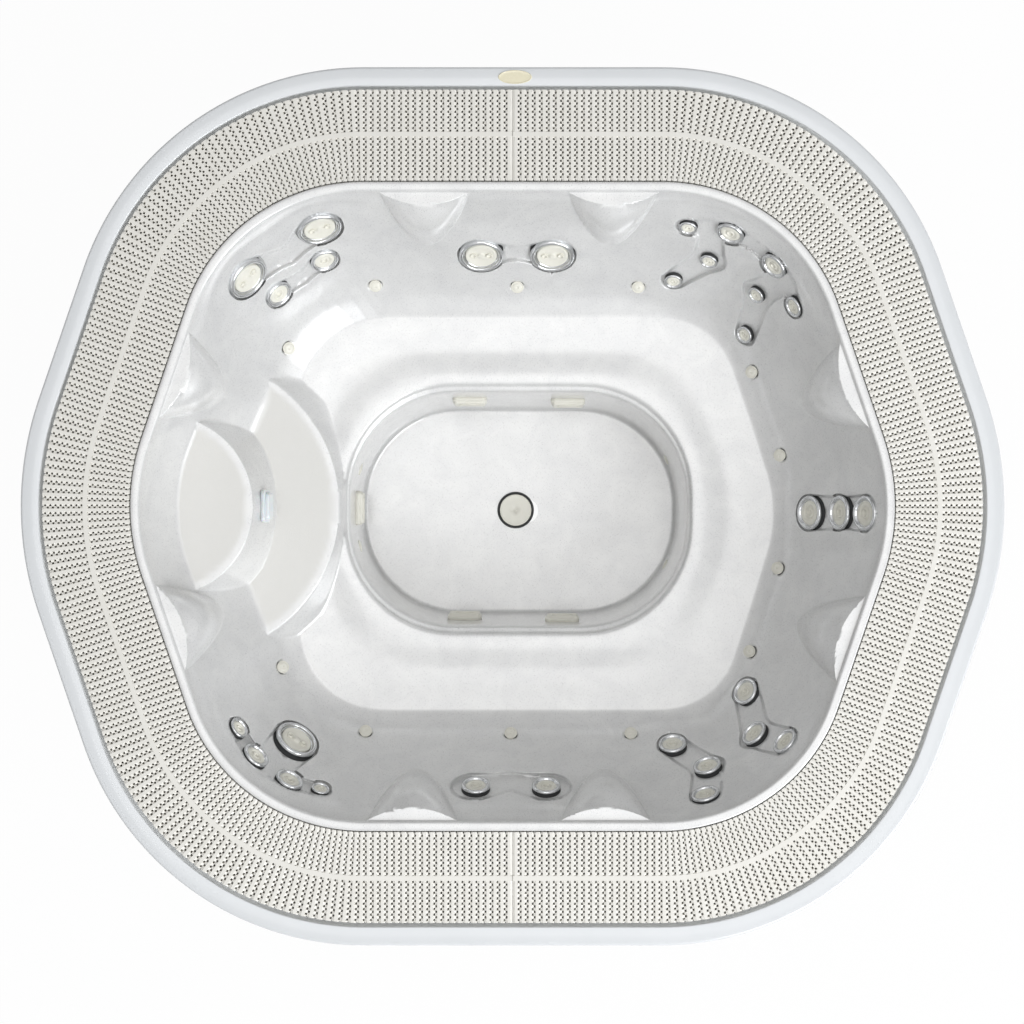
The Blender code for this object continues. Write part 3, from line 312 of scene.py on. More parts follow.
# Signed distance along the wall to the nearest pocket's edge, below 0 inside
def pocket_distance(x, y, height):
    place = np.stack((x, y, height), -1)
    nearest = np.full(x.shape, 1.0)
    for chain in POCKETS:
        nodes = []
        for spot, width in chain:
            if isinstance(spot, str):
                nodes.append((np.array(jets["jet_" + spot][0]), width))
            else:
                level = plain_height(np.array([spot[0]]), np.array([spot[1]]))[0]
                nodes.append((np.array((*spot, level)), width))
        for (start, first), (end, last) in zip(nodes, nodes[1:]):
            side = end - start
            share = np.clip((place - start) @ side / (side @ side), 0, 1)
            beside = np.linalg.norm(place - start - share[..., None] * side, axis=-1)
            away = beside - first - (last - first) * share
            nearest = -smooth_max(-nearest, -away, POCKET_BLEND)
    return nearest


def with_pockets(x, y, height):
    across = crossing(x, y)
    out_x, out_y = x - CENTRE.x, y - CENTRE.y
    reach = np.hypot(out_x, out_y) + 1e-9
    next_x, next_y = x - out_x / reach * PROBE, y - out_y / reach * PROBE
    fall = (plain_height(x, y) - plain_height(next_x, next_y)) / PROBE
    slant = np.sqrt(1 + fall ** 2)
    away = pocket_distance(x, y, height)
    further = pocket_distance(next_x, next_y, height - fall * PROBE)
    bench_side = np.clip((further - away) / (PROBE * slant), 0, 1)
    window = np.clip(across / RAISE_START, 0, 1) * np.clip((RAISE_END - across) / RAISE_FADE, 0, 1)
    raised = height + POCKET_RAISE * slant * window * np.exp(-(np.clip(away, 0, None) / POCKET_FADE) ** 2)
    sunk = np.clip(-away / (LIP_LEDGE + (BENCH_LEDGE - LIP_LEDGE) * bench_side), 0, 1)
    return raised - (POCKET_INSET + POCKET_RAISE) * slant * sunk * sunk * (3 - 2 * sunk)


# Where each air nozzle sits: shares round the edge and from the lip to the crease
NOZZLE_SPOTS = [
    (0.3245, 0.773), (0.249, 0.795), (0.187, 0.793), (0.408, 0.846), (0.076, 0.922),
    (0.037, 0.91), (0.96, 0.945), (0.921, 0.975), (0.806, 0.849), (0.748, 0.851),
    (0.669, 0.858), (0.5885, 0.849),
]
NOZZLE_RADIUS = 0.019
NOZZLE_TILT = 0.75
nozzles = []
for run_share, wall_share in NOZZLE_SPOTS:
    lip = edge_points([run_share * WHOLE_RUN], [LIP_INNER])[0] - CENTRE_SPOT
    reaches = station_reaches(math.atan2(lip[1], lip[0]))
    out = lip / np.linalg.norm(lip)
    x, y = CENTRE_SPOT + out * (np.linalg.norm(lip) + (reaches[1] - np.linalg.norm(lip)) * wall_share)
    probe_x, probe_y = np.array((x, x + PROBE, x)), np.array((y, y, y + PROBE))
    levels = plain_height(probe_x, probe_y)
    slope = Vector(((levels[0] - levels[1]) / PROBE, (levels[0] - levels[2]) / PROBE, 1)).normalized()
    facing = (slope + NOZZLE_TILT * Vector((0, 0, 1))).normalized()
    nozzles.append((Vector((x, y, levels[0])), facing, NOZZLE_RADIUS))

# Each jet and air nozzle has a flat round seat in the shell, open toward the lip, where its gasket shows as a
# crescent of painted shade
SEAT_GAP = 0.0015
LEAST_OPENING = 0.005
SEAT_OPENING = 0.17
SEAT_SINK = 0.16
SEAT_ROUND = 0.003
SEAT_MARGIN = 0.02
SEAT_REACH = 0.09


def up_the_seat(facing):
    return (Vector((0, 0, 1)) - facing * facing.z).normalized()


def seat_opening(radius):
    return max(LEAST_OPENING, SEAT_OPENING * radius)


def with_seats(x, y, height):
    for middle, facing, radius in list(jets.values()) + nozzles:
        beside = np.hypot(x - middle.x, y - middle.y) < radius + SEAT_MARGIN
        off_x, off_y, off_z = x - middle.x, y - middle.y, height - middle.z
        depth = off_x * facing.x + off_y * facing.y + off_z * facing.z
        across = np.sqrt(np.clip(off_x ** 2 + off_y ** 2 + off_z ** 2 - depth ** 2, 0, None)) + 1e-9
        up = up_the_seat(facing)
        toward_lip = np.clip((off_x * up.x + off_y * up.y + off_z * up.z) / across, 0, 1)
        away = across - radius - SEAT_GAP - seat_opening(radius) * toward_lip
        lift = np.clip(away / SEAT_ROUND, 0, 1)
        over = np.clip(depth + SEAT_SINK * radius, 0, None)
        lowered = height - over / facing.z * (1 - lift * lift * (3 - 2 * lift))
        height = np.where(beside & (depth < SEAT_REACH), lowered, height)
    return height


def basin_height(x, y):
    height = with_neck_rests(x, y, plain_height(x, y))
    height = with_pockets(x, y, height)
    return with_steps(x, y, with_seats(x, y, height))


# The sheet's section as rows: over the lip, then places across the basin, then the drain hole and the back
LIP_ROWS = [
    (LIP_OUTER, 0.01), (LIP_OUTER, 0.003), (LIP_OUTER + 0.0009, 0.0009), (LIP_OUTER + 0.003, 0),
    (0.32, -0.0003), (0.33, 0), (0.3345, 0.0008), (0.3372, 0.003), (0.3386, 0.0062),
    (LIP_INNER, LIP_DROP),
]
WELL_ROWS = [
    1.97, 2.0, 2.03, 2.06, 2.14, 2.23, 2.3, 2.35, 2.4, 2.47, 2.56, 2.7, 2.84, 2.92, 2.97, 3.02, 3.1, 3.3,
    3.6, 3.84, 3.872, 3.88,
]
FRONT_ROWS = [*np.linspace(0, 0.12, 5), *np.linspace(0.12, 1.0, 22)[1:], *np.linspace(1.0, 1.94, 16)[1:]]
FRONT_ROWS += WELL_ROWS
BACK_ROWS = [
    (3.88, 0.01), (3.872, 0.01), (3.5, 0.01), (3.0, 0.01), (2.85, 0.012), (2.5, 0.014), (2.1, 0.014),
    (2.0, 0.01), (1.6, 0.01), (1.15, 0.01), (1.0, 0.014), (0.8, 0.032), (0.5, 0.034), (0.2, 0.026),
    (0.06, 0.014), (0, 0.01),
]
BACK_PROBE = 0.01
COLUMNS = 520
SEAM_RUN = 0.305
lip_inset, lip_depth = np.array(LIP_ROWS).T
first_front = len(LIP_ROWS) - 1
last_front = first_front + len(FRONT_ROWS) - 1
ROWS = last_front + len(BACK_ROWS) + 1


# Places of the sheet for shares round the edge and rows across it
def basin_places(share, row):
    run = (share + SEAM_RUN) * WHOLE_RUN
    inset = np.interp(row, np.arange(len(LIP_ROWS)), lip_inset)
    lip = edge_points(run, np.where(row <= first_front, inset, LIP_INNER))
    places = np.stack((lip[:, 0], lip[:, 1], TOP - np.interp(row, np.arange(len(LIP_ROWS)), lip_depth)), -1)
    out = edge_points(run, np.full(len(run), LIP_INNER)) - CENTRE_SPOT
    stations = station_reaches(np.arctan2(out[:, 1], out[:, 0]))
    reaches = [np.linalg.norm(out, axis=1)] + stations[1:] + [np.zeros(len(run))]
    out = out / reaches[0][:, None]

    def at(across):
        low = np.clip(across.astype(int), 0, 3)
        start = np.choose(low, reaches[:4])
        end = np.choose(low, reaches[1:])
        return start + (end - start) * (across - low)

    across = np.interp(row, np.arange(first_front, last_front + 1), FRONT_ROWS)
    front = at(across)[:, None] * out + CENTRE_SPOT
    is_front = (row > first_front) & (row <= last_front)
    if is_front.any():
        places[is_front, :2] = front[is_front]
        places[is_front, 2] = basin_height(front[is_front, 0], front[is_front, 1])
    back_across, back_depth = np.array(BACK_ROWS).T
    rows = np.arange(last_front + 1, last_front + 1 + len(BACK_ROWS))
    across, skin = np.interp(row, rows, back_across), np.interp(row, rows, back_depth)
    ahead, behind = np.clip(across + BACK_PROBE, 0, 4), np.clip(across - BACK_PROBE, 0, 4)
    run_in = at(behind) - at(ahead)
    fall = through(SECTION, ahead) - through(SECTION, behind)
    length = np.hypot(run_in, fall)
    reach = at(across) + skin * fall / length
    back = reach[:, None] * out + CENTRE_SPOT
    level = TOP - through(SECTION, across) - skin * run_in / length
    is_back = (row > last_front) & (row < ROWS)
    places[is_back, :2] = back[is_back]
    places[is_back, 2] = level[is_back]
    return places


# A flat sheet of columns by rows, whose x is the share round the edge and whose y is the row
def round_sheet(columns, rows):
    model = bmesh.new()
    bmesh.ops.create_grid(model, x_segments=columns, y_segments=rows, size=0.5)
    bmesh.ops.translate(model, vec=(0.5, 0.5, 0), verts=model.verts)
    bmesh.ops.scale(model, vec=(1, rows, 1), verts=model.verts)
    return model


def lay(model, places):
    for vertex, place in zip(model.verts, places.tolist()):
        vertex.co = place


def close_up(model, name):
    bmesh.ops.remove_doubles(model, verts=model.verts, dist=0.00002)
    bmesh.ops.recalc_face_normals(model, faces=model.faces)
    return to_piece(model, name)


def linked(name, data):
    item = bpy.data.objects.new(name, data)
    scene.collection.objects.link(item)
    return item


def to_piece(model, name, *finishes, smooth=True):
    mesh = bpy.data.meshes.new(name)
    model.to_mesh(mesh)
    model.free()
    for finish in finishes:
        mesh.materials.append(finish)
    for face in mesh.polygons:
        face.use_smooth = smooth
    return linked(name, mesh)


def grid_of(model):
    spots = np.array([vertex.co[:2] for vertex in model.verts])
    return spots[:, 0], spots[:, 1]


# Finer faces where the moulding turns sharply: steps, neck rests, pockets and seats
TURN_LIMITS = [0.001, 0.0009, 0.0007]
LEAST_LENGTH = 0.003
sheet = round_sheet(COLUMNS, ROWS)
for limit in TURN_LIMITS:
    places = basin_places(*grid_of(sheet))
    sheet.verts.index_update()
    sheet.edges.ensure_lookup_table()
    ends = np.array([(edge.verts[0].index, edge.verts[1].index) for edge in sheet.edges])
    share, row = grid_of(sheet)
    middle_share, middle_row = share[ends].mean(1), row[ends].mean(1)
    inside = (middle_row >= first_front) & (middle_row < last_front - len(WELL_ROWS))
    middles = basin_places(middle_share, middle_row)
    chord = places[ends].mean(1)
    length = np.linalg.norm(places[ends[:, 0]] - places[ends[:, 1]], axis=1)
    flat = np.linalg.norm(places[ends[:, 0], :2] - places[ends[:, 1], :2], axis=1)
    error = np.abs(middles[:, 2] - chord[:, 2]) * flat / np.maximum(length, 1e-9)
    sharp = np.flatnonzero(inside & (error > limit) & (length > LEAST_LENGTH))
    faces = {face for index in sharp for face in sheet.edges[index].link_faces}
    edges = {edge for face in faces for edge in face.edges}
    edges = [edge for edge in edges if all(row[v.index] >= first_front for v in edge.verts)]
    bmesh.ops.subdivide_edges(sheet, edges=edges, cuts=1, use_grid_fill=True)
share, row = grid_of(sheet)
places = basin_places(share, row)
places[row > ROWS - 0.5] = basin_places(share, np.zeros(len(row)))[row > ROWS - 0.5]
lay(sheet, places)
basin = close_up(sheet, "basin_moulding")

# The front's own normals, from the height function, so that small rounds shade evenly
NORMAL_PROBE = 0.0004
spots = np.empty(len(basin.data.vertices) * 3)
basin.data.vertices.foreach_get("co", spots)
x, y, z = spots.reshape(-1, 3).T
normals = np.array([vertex.normal for vertex in basin.data.vertices])
front = (normals[:, 2] > 0.02) & (crossing(x, y) > 0.004) & (np.abs(basin_height(x, y) - z) < NORMAL_PROBE)
slope_x = (basin_height(x + NORMAL_PROBE, y) - basin_height(x - NORMAL_PROBE, y)) / (2 * NORMAL_PROBE)
slope_y = (basin_height(x, y + NORMAL_PROBE) - basin_height(x, y - NORMAL_PROBE)) / (2 * NORMAL_PROBE)
exact = np.column_stack((-slope_x, -slope_y, np.ones(len(x))))
exact /= np.linalg.norm(exact, axis=1)[:, None]
normals[front] = exact[front]
basin.data.normals_split_custom_set_from_vertices(normals.tolist())

# The treads' anti-slip stipple and its strength, kept as an attribute
TREAD_FADE = 0.012
TREAD_LEVEL = 0.002
stipple = 0 * x
for reach, radius, _, _, depth, _ in STEPS:
    inner = np.clip(-past_nose(x, y, reach, radius) / TREAD_FADE - 1.2, 0, 1)
    stipple = np.maximum(stipple, inner * np.clip(1 - np.abs(z - TOP + depth) / TREAD_LEVEL, 0, 1))
tread = basin.data.attributes.new("tread", "FLOAT", "POINT")
tread.data.foreach_set("value", stipple)


# sRGB hex to the shader's linear colour
def linear(hex_colour):
    channels = [int(hex_colour[i:i + 2], 16) / 255 for i in (0, 2, 4)]
    return (*[c / 12.92 if c <= 0.04045 else ((c + 0.055) / 1.055) ** 2.4 for c in channels], 1)


# Gives a node's inputs their values, or the outputs that feed them
def feed(material, node, inputs):
    for socket, value in inputs.items():
        if isinstance(value, bpy.types.NodeSocket):
            material.node_tree.links.new(value, node.inputs[socket])
        else:
            node.inputs[socket].default_value = value
    return node


# Adds one node with its settings and its inputs
def add(material, kind, inputs, **settings):
    node = material.node_tree.nodes.new(kind)
    for name, value in settings.items():
        setattr(node, name, value)
    return feed(material, node, inputs)


# A material and the object coordinates that its textures read
def new_material(name):
    material = bpy.data.materials.new(name)
    material.use_nodes = True
    return material, add(material, "ShaderNodeTexCoord", {}).outputs["Object"]


def surface(material, inputs):
    return feed(material, material.node_tree.nodes["Principled BSDF"], inputs)


# Noise whose clouds are about as large as the size, in metres
def noise(material, place, size, **inputs):
    return add(material, "ShaderNodeTexNoise", {"Vector": place, "Scale": 1 / size, **inputs}).outputs["Fac"]


# A colour between two, each an sRGB hex or an output
def blend(material, share, first, second):
    first, second = [linear(end) if isinstance(end, str) else end for end in (first, second)]
    return add(material, "ShaderNodeMix", {0: share, 6: first, 7: second}, data_type="RGBA").outputs[2]


def ranged(material, value, low, high):
    return add(material, "ShaderNodeMapRange", {"Value": value, "To Min": low, "To Max": high}).outputs[0]


# A finish in two tones that change in clouds of a size. Its roughness changes with them, or with a
# finer grain, which may also be raised: by a share, of a height.
def mottled(name, size, detail, tones, roughness, inputs, distortion=0, grain=None, raised=None):
    material, place = new_material(name)
    clouds = noise(material, place, size, Detail=detail, Distortion=distortion)
    fine = noise(material, place, grain, Detail=2) if grain else clouds
    if raised:
        bump = {"Height": fine, "Strength": raised[0], "Distance": raised[1]}
        inputs = {"Normal": add(material, "ShaderNodeBump", bump).outputs[0], **inputs}
    colour, rough = blend(material, clouds, *tones), ranged(material, fine, *roughness)
    surface(material, {"Base Color": colour, "Roughness": rough, **inputs})
    return material


# Pearl acrylic, vacuum-formed: mica flakes set in a clear cast sheet. It looks silver white with faint
# clouds 90 mm across and a fine glitter, under a polished skin. Flakes of 0.2 mm are drawn at 1.6 mm.
pearl_acrylic, place = new_material("pearl_acrylic_sheet")
clouds = noise(pearl_acrylic, place, 0.09, Detail=4, Roughness=0.6, Distortion=0.8)
flakes = add(pearl_acrylic, "ShaderNodeTexVoronoi", {"Vector": place, "Scale": 1 / 0.0016})
cloud_share = add(pearl_acrylic, "ShaderNodeMapRange", {"Value": clouds, "From Min": 0.35, "From Max": 0.65})
flake_share = {0: flakes.outputs["Color"], 1: 0.35}
flake_share = add(pearl_acrylic, "ShaderNodeMath", flake_share, operation="MULTIPLY")
pearl = blend(pearl_acrylic, cloud_share.outputs[0], "DADADA", "E5E5E4")
glitter = blend(pearl_acrylic, flake_share.outputs[0], pearl, "EFEFED")
tread_share = add(pearl_acrylic, "ShaderNodeAttribute", {}, attribute_name="tread").outputs["Fac"]
worn = blend(pearl_acrylic, tread_share, glitter, "DDDCD8")
rough = ranged(pearl_acrylic, flakes.outputs["Color"], 0.26, 0.34)
rougher = add(pearl_acrylic, "ShaderNodeMath", {0: tread_share, 1: 0.25, 2: rough}, operation="MULTIPLY_ADD")
# The stipple's pips are 3 mm apart and 0.6 mm high
pips = add(pearl_acrylic, "ShaderNodeTexVoronoi", {"Vector": place, "Scale": 1 / 0.003, "Randomness": 0.35})
pip_height = {0: pips.outputs["Distance"], 1: tread_share}
pip_height = add(pearl_acrylic, "ShaderNodeMath", pip_height, operation="MULTIPLY").outputs[0]
dimples = add(pearl_acrylic, "ShaderNodeBump", {"Height": pip_height, "Strength": 0.8, "Distance": 0.0009})
surface(pearl_acrylic, {
    "Base Color": worn, "Roughness": rougher.outputs[0], "Normal": dimples.outputs[0],
    "Metallic": 0.2, "IOR": 1.49, "Coat Weight": 0.7, "Coat Roughness": 0.04, "Coat IOR": 1.49,
})
basin.data.materials.append(pearl_acrylic)
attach(basin, "tub")
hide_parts("basin_shell")


# Overflow channel and rim: one moulding of white acrylic round the basin, with a rounded rim, a ledge
# on each side for the grating and a trough between them. The basin's lip hooks over its inner upstand.
RIM_SECTION = [
    (0, 0.1), (0, 0.008), (0.0008, 0.0045), (0.0024, 0.0018), (0.0052, 0.0003), (0.008, 0),
    (0.026, -0.0003), (0.048, 0), (0.0502, 0.0005), (0.0515, 0.0018), (0.052, 0.004), (0.052, 0.0246),
    (0.0725, 0.0246), (0.0733, 0.026), (0.079, 0.172), (0.0815, 0.178), (0.087, 0.18), (0.277, 0.18),
    (0.2815, 0.178), (0.2835, 0.172), (0.2903, 0.026), (0.291, 0.0246), (0.3115, 0.0246),
    (0.3115, 0.0103), (0.3225, 0.0103), (0.3225, 0.0326), (0.2985, 0.0326), (0.2905, 0.188),
    (0.073, 0.188), (0.065, 0.0326), (0.044, 0.0326), (0.044, 0.008), (0.008, 0.008), (0.008, 0.1),
]
RIM_COLUMNS = 600
rim_inset, rim_depth = np.array(RIM_SECTION + RIM_SECTION[:1]).T
rim_sheet = round_sheet(RIM_COLUMNS, len(RIM_SECTION))
share, row = grid_of(rim_sheet)
corners = np.arange(len(rim_inset))
spots = edge_points(share * WHOLE_RUN, np.interp(row, corners, rim_inset))
lay(rim_sheet, np.column_stack((spots, TOP - np.interp(row, corners, rim_depth))))
rim = close_up(rim_sheet, "rim_and_channel")

# White acrylic, cast and polished: an even cool white with faint clouds 120 mm across and a clear gloss
rim_acrylic = mottled("white_cast_acrylic", 0.12, 3, ("E0E3E5", "E7E9EB"), (0.2, 0.28), {
    "IOR": 1.49, "Metallic": 0.05, "Coat Weight": 0.6, "Coat Roughness": 0.05, "Coat IOR": 1.49,
}, grain=0.02)
rim.data.materials.append(rim_acrylic)
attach(rim, "tub")
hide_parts("overflow_channel")

# Overflow grating: narrow off-white ribs across the channel, locked together by staggered teeth
# with small drain holes between them, and held by a soft spine. It lies in two halves and lifts off.
# Each half is rolled up in two lengths.
# Polypropylene, moulded: a warm matt off-white with a faint grain of 1.5 mm; 0.3 mm would not show
grating_plastic = mottled(
    "moulded_polypropylene", 0.06, 3, ("EEEBE3", "F7F5EF"), (0.42, 0.56), {"IOR": 1.49},
    grain=0.0015, raised=(0.2, 0.0002))
SPINE_INSET = 0.1837
SPINE_HALF = 0.0068
RIB_OUTER = 0.0625
RIB_INNER = 0.3095
RIB_PITCH = 0.02
GRATING_TOP = TOP - 0.0003
GRATING_THICKNESS = 0.024
TOOTH_PITCH = 0.0148
# Across a gap between ribs, as shares of the pitch from the gap's middle: this edge and the next rib's edge
TOOTH_STEPS = [
    (0.02, -0.06, -0.05), (0.07, -0.26, -0.02), (0.41, -0.26, -0.02), (0.48, -0.06, -0.05),
    (0.52, 0.05, 0.06), (0.57, 0.02, 0.26), (0.91, 0.02, 0.26), (0.98, 0.05, 0.06),
]
PLAIN_END = 0.1
FIRST_TOOTH = RIB_OUTER + 0.004
LAST_TOOTH = RIB_INNER - 0.002
END_RIB_GAP = 0.02
BAR_HALF = 0.2
TOOTH_DROP = 0.003
SPINE_SAMPLES = 4001
SPINE_CUTS = 80
SPINE_RAISE = 0.0003
SPINE_THICKNESS = GRATING_THICKNESS * 0.6
fine_runs = np.linspace(0, WHOLE_RUN, SPINE_SAMPLES)
spine_line = edge_points(fine_runs, np.full(SPINE_SAMPLES, SPINE_INSET))
spine_length = np.concatenate(([0], np.cumsum(np.linalg.norm(np.diff(spine_line, axis=0), axis=1))))
ribs_per_half = int(spine_length[-1] / 2 / RIB_PITCH)
JOINT_GAP = 0.0012


def spine_run(share):
    return np.interp(share * spine_length[-1], spine_length, fine_runs)


teeth = [(RIB_OUTER, -PLAIN_END, PLAIN_END)]
inset = FIRST_TOOTH
while inset + TOOTH_PITCH < LAST_TOOTH:
    teeth += [(inset + along * TOOTH_PITCH, *edges) for along, *edges in TOOTH_STEPS]
    inset += TOOTH_PITCH
tooth_insets, left_edges, right_edges = np.array(teeth + [(RIB_INNER, -PLAIN_END, PLAIN_END)]).T


# Gives a sheet of faces its thickness, downward
def thicken(model, faces, thickness):
    grown = bmesh.ops.extrude_face_region(model, geom=faces)["geom"]
    lower = [item for item in grown if isinstance(item, bmesh.types.BMVert)]
    bmesh.ops.translate(model, vec=(0, 0, -thickness), verts=lower)


tooth_rows = len(tooth_insets) - 1
half_way = ribs_per_half // 2
joint_share = JOINT_GAP / WHOLE_RUN
LENGTHS = [
    ("right", 1, -0.25, 0, half_way), ("right", 2, -0.25, half_way, ribs_per_half),
    ("left", 1, 0.25, 0, half_way), ("left", 2, 0.25, half_way, ribs_per_half),
]
for side, number, start, first_rib, last_rib in LENGTHS:
    grating = bmesh.new()
    for rib in range(first_rib, last_rib):
        strip = bmesh.ops.create_grid(grating, x_segments=3, y_segments=tooth_rows, size=0.5)["verts"]
        middle = start + (rib + 0.5) / ribs_per_half / 2
        pitch = 0.5 / ribs_per_half
        low_edge = 0 * right_edges + END_RIB_GAP if rib == 0 else right_edges
        high_edge = 0 * left_edges - END_RIB_GAP if rib == ribs_per_half - 1 else left_edges
        offsets = (low_edge - 0.5, 0 * low_edge - BAR_HALF, 0 * low_edge + BAR_HALF, 0.5 + high_edge)
        columns = [edge_points(spine_run((middle + pitch * offset) % 1), tooth_insets) for offset in offsets]
        for vertex in strip:
            column, row_at = round((vertex.co.x + 0.5) * 3), round((vertex.co.y + 0.5) * tooth_rows)
            spot = columns[column][row_at]
            vertex.co = (spot[0], spot[1], GRATING_TOP - (TOOTH_DROP if column in (0, 3) else 0))
    thicken(grating, grating.faces[:], GRATING_THICKNESS)
    spine = bmesh.ops.create_grid(grating, x_segments=SPINE_CUTS, y_segments=1, size=0.5)["verts"]
    spine_from = max(first_rib / ribs_per_half / 2, joint_share)
    spine_to = min(last_rib / ribs_per_half / 2, 0.5 - joint_share)
    for vertex in spine:
        run_share = start + spine_from + (vertex.co.x + 0.5) * (spine_to - spine_from)
        across = SPINE_INSET + 2 * SPINE_HALF * vertex.co.y
        spot = edge_points(spine_run(np.array([run_share % 1])), [across])[0]
        vertex.co = (spot[0], spot[1], GRATING_TOP + SPINE_RAISE)
    thicken(grating, list({face for vertex in spine for face in vertex.link_faces}), SPINE_THICKNESS)
    bmesh.ops.recalc_face_normals(grating, faces=grating.faces)
    roll = to_piece(grating, "grating_roll_%s_%d" % (side, number), grating_plastic, smooth=False)
    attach(roll, "grating_" + side)
    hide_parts("grating_" + side)


# Large rotary jets: a bright ring screwed into the shell round a cream face, which the water turns.
# The ring is polished stainless steel, the face moulded ABS with two angled ports and a hub.
# Stainless steel, pressed and buffed: near white, with faint buffing smears about 12 mm across
polished_steel = mottled(
    "buffed_stainless_steel", 0.012, 4, ("C9CBCD", "DCDDDE"), (0.08, 0.2), {"Metallic": 1}, distortion=1.5)

# Cream ABS, injection-moulded with a satin grain: slightly warm, with a soft sheen.
# The grain of 0.2 mm is drawn at 1 mm.
cream_abs = mottled(
    "cream_moulded_abs", 0.03, 3, ("E6E4D8", "F0EEE4"), (0.3, 0.42), {"IOR": 1.54},
    grain=0.001, raised=(0.15, 0.0001))

# Moulded nitrile rubber: near black and matt, with a bloom that greys it in patches 10 mm across. It is
# partly a real gasket and partly painted shade in the crevices round the jets, nozzles and drain.
gasket_and_shade_rubber = mottled("moulded_rubber_gasket", 0.01, 4, ("121314", "232527"), (0.45, 0.65), {"IOR": 1.52})


# A body turned on the Z axis from a profile of radii and heights, times a scale
def turned(profile, segments, scale=1):
    model = bmesh.new()
    verts = [model.verts.new((radius * scale, 0, height * scale)) for radius, height in profile]
    edges = [model.edges.new(pair) for pair in zip(verts, verts[1:])]
    bmesh.ops.spin(
        model, geom=verts + edges, cent=(0, 0, 0), axis=(0, 0, 1), angle=2 * math.pi, steps=segments,
        use_merge=True)
    bmesh.ops.remove_doubles(model, verts=model.verts, dist=0.00001)
    bmesh.ops.recalc_face_normals(model, faces=model.faces)
    return model


def transformed(model, matrix):
    bmesh.ops.transform(model, matrix=matrix, verts=model.verts)
    return model


# Adds a part's faces to a whole, and frees the part
def join(whole, part):
    loose = bpy.data.meshes.new("loose")
    part.to_mesh(loose)
    part.free()
    whole.from_mesh(loose)
    bpy.data.meshes.remove(loose)
    return whole


# Sits a model's origin at a middle, with its Z axis along the facing
def facing_frame(middle, facing):
    level = Vector((0, 0, 1)).cross(facing).normalized()
    turn = Matrix((level, facing.cross(level), facing)).transposed().to_4x4()
    return Matrix.Translation(middle) @ turn


RING_PROFILE = [
    (1.0, -0.18), (1.0, 0.06), (0.985, 0.115), (0.95, 0.15), (0.9, 0.165), (0.85, 0.16), (0.815, 0.135),
    (0.8, 0.1), (0.795, 0.04), (0.775, 0.02), (0.745, 0.02), (0.73, 0.0), (0.725, -0.18), (1.0, -0.18),
]
FACE_PROFILE = [
    (0, 0.105), (0.1, 0.105), (0.13, 0.095), (0.145, 0.06), (0.19, 0.035), (0.35, 0.03), (0.5, 0.045),
    (0.6, 0.085), (0.64, 0.095), (0.675, 0.09), (0.7, 0.065), (0.71, 0.02), (0.71, -0.16), (0, -0.16),
]
PORT_PROFILE = [
    (0, 0.035), (0.105, 0.035), (0.105, 0.1), (0.12, 0.115), (0.14, 0.105), (0.145, 0.02), (0, 0.02),
]
# The gasket under each jet and nozzle, set a little toward the lip, so that its near-black side shows there
# as painted shade in the crevice
GASKET_AND_SHADE_PROFILE = [(0, -0.08), (0.985, -0.08), (1.0, -0.1), (1.0, -0.24), (0, -0.24)]
PORT_SPOT = 0.36
PORT_SEGMENTS = 24
LARGE_SEGMENTS = 64


# Joins a gasket to a model: the part under the flange that shows on the side toward the lip, a real gasket
# that also paints the crevice's shade
def with_gasket_and_shade(model, middle, facing, radius, segments):
    raised = middle + up_the_seat(facing) * seat_opening(radius)
    gasket = transformed(turned(GASKET_AND_SHADE_PROFILE, segments, radius), facing_frame(raised, facing))
    for face in gasket.faces:
        face.material_index = 1
    return join(model, gasket)


for name, (middle, facing, radius) in jets.items():
    if not name.startswith("jet_large"):
        continue
    sit = facing_frame(middle, facing)
    ring = transformed(turned(RING_PROFILE, LARGE_SEGMENTS, radius), sit)
    ring = with_gasket_and_shade(ring, middle, facing, radius, LARGE_SEGMENTS)
    ring = to_piece(ring, name + "_ring", polished_steel, gasket_and_shade_rubber)
    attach(ring, "tub")
    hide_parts(name + "_body")
    face = turned(FACE_PROFILE, LARGE_SEGMENTS, radius)
    for side in (-PORT_SPOT, PORT_SPOT):
        port = turned(PORT_PROFILE, PORT_SEGMENTS, radius)
        bmesh.ops.translate(port, vec=(side * radius, 0, 0), verts=port.verts)
        join(face, port)
    face = to_piece(transformed(face, sit), name + "_face", cream_abs)
    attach(face, name + "_rotor")
    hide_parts(name + "_rotor")

# Small jets: a bright trim ring with a cream nozzle face in it, which twists a quarter turn to shut
# the water off. Ring and face are turned as one profile.
SMALL_PROFILE = [
    (1.0, -0.22), (1.0, 0.06), (0.98, 0.12), (0.93, 0.155), (0.86, 0.165), (0.8, 0.15), (0.76, 0.11),
    (0.745, 0.04), (0.7, 0.02), (0.66, 0.07), (0.55, 0.09), (0.47, 0.085), (0.43, 0.05), (0.4, -0.02),
    (0.3, -0.03), (0.27, 0.05), (0.235, 0.075), (0.2, 0.07), (0.185, 0.03), (0.17, -0.06), (0, -0.06),
    (0, -0.22), (1.0, -0.22),
]
INSERT_SHARE = 0.69
SMALL_SEGMENTS = 40
for name, (middle, facing, radius) in jets.items():
    if name.startswith("jet_large"):
        continue
    sit = facing_frame(middle, facing)
    jet = transformed(turned(SMALL_PROFILE, SMALL_SEGMENTS, radius), sit)
    for face in jet.faces:
        offset = face.calc_center_median() - middle
        across = (offset - facing * offset.dot(facing)).length / radius
        face.material_index = 2 if across < INSERT_SHARE and offset.dot(facing) > -0.1 * radius else 0
    jet = with_gasket_and_shade(jet, middle, facing, radius, SMALL_SEGMENTS)
    jet = to_piece(jet, name + "_trim", polished_steel, gasket_and_shade_rubber, cream_abs)
    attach(jet, name)
    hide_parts(name)

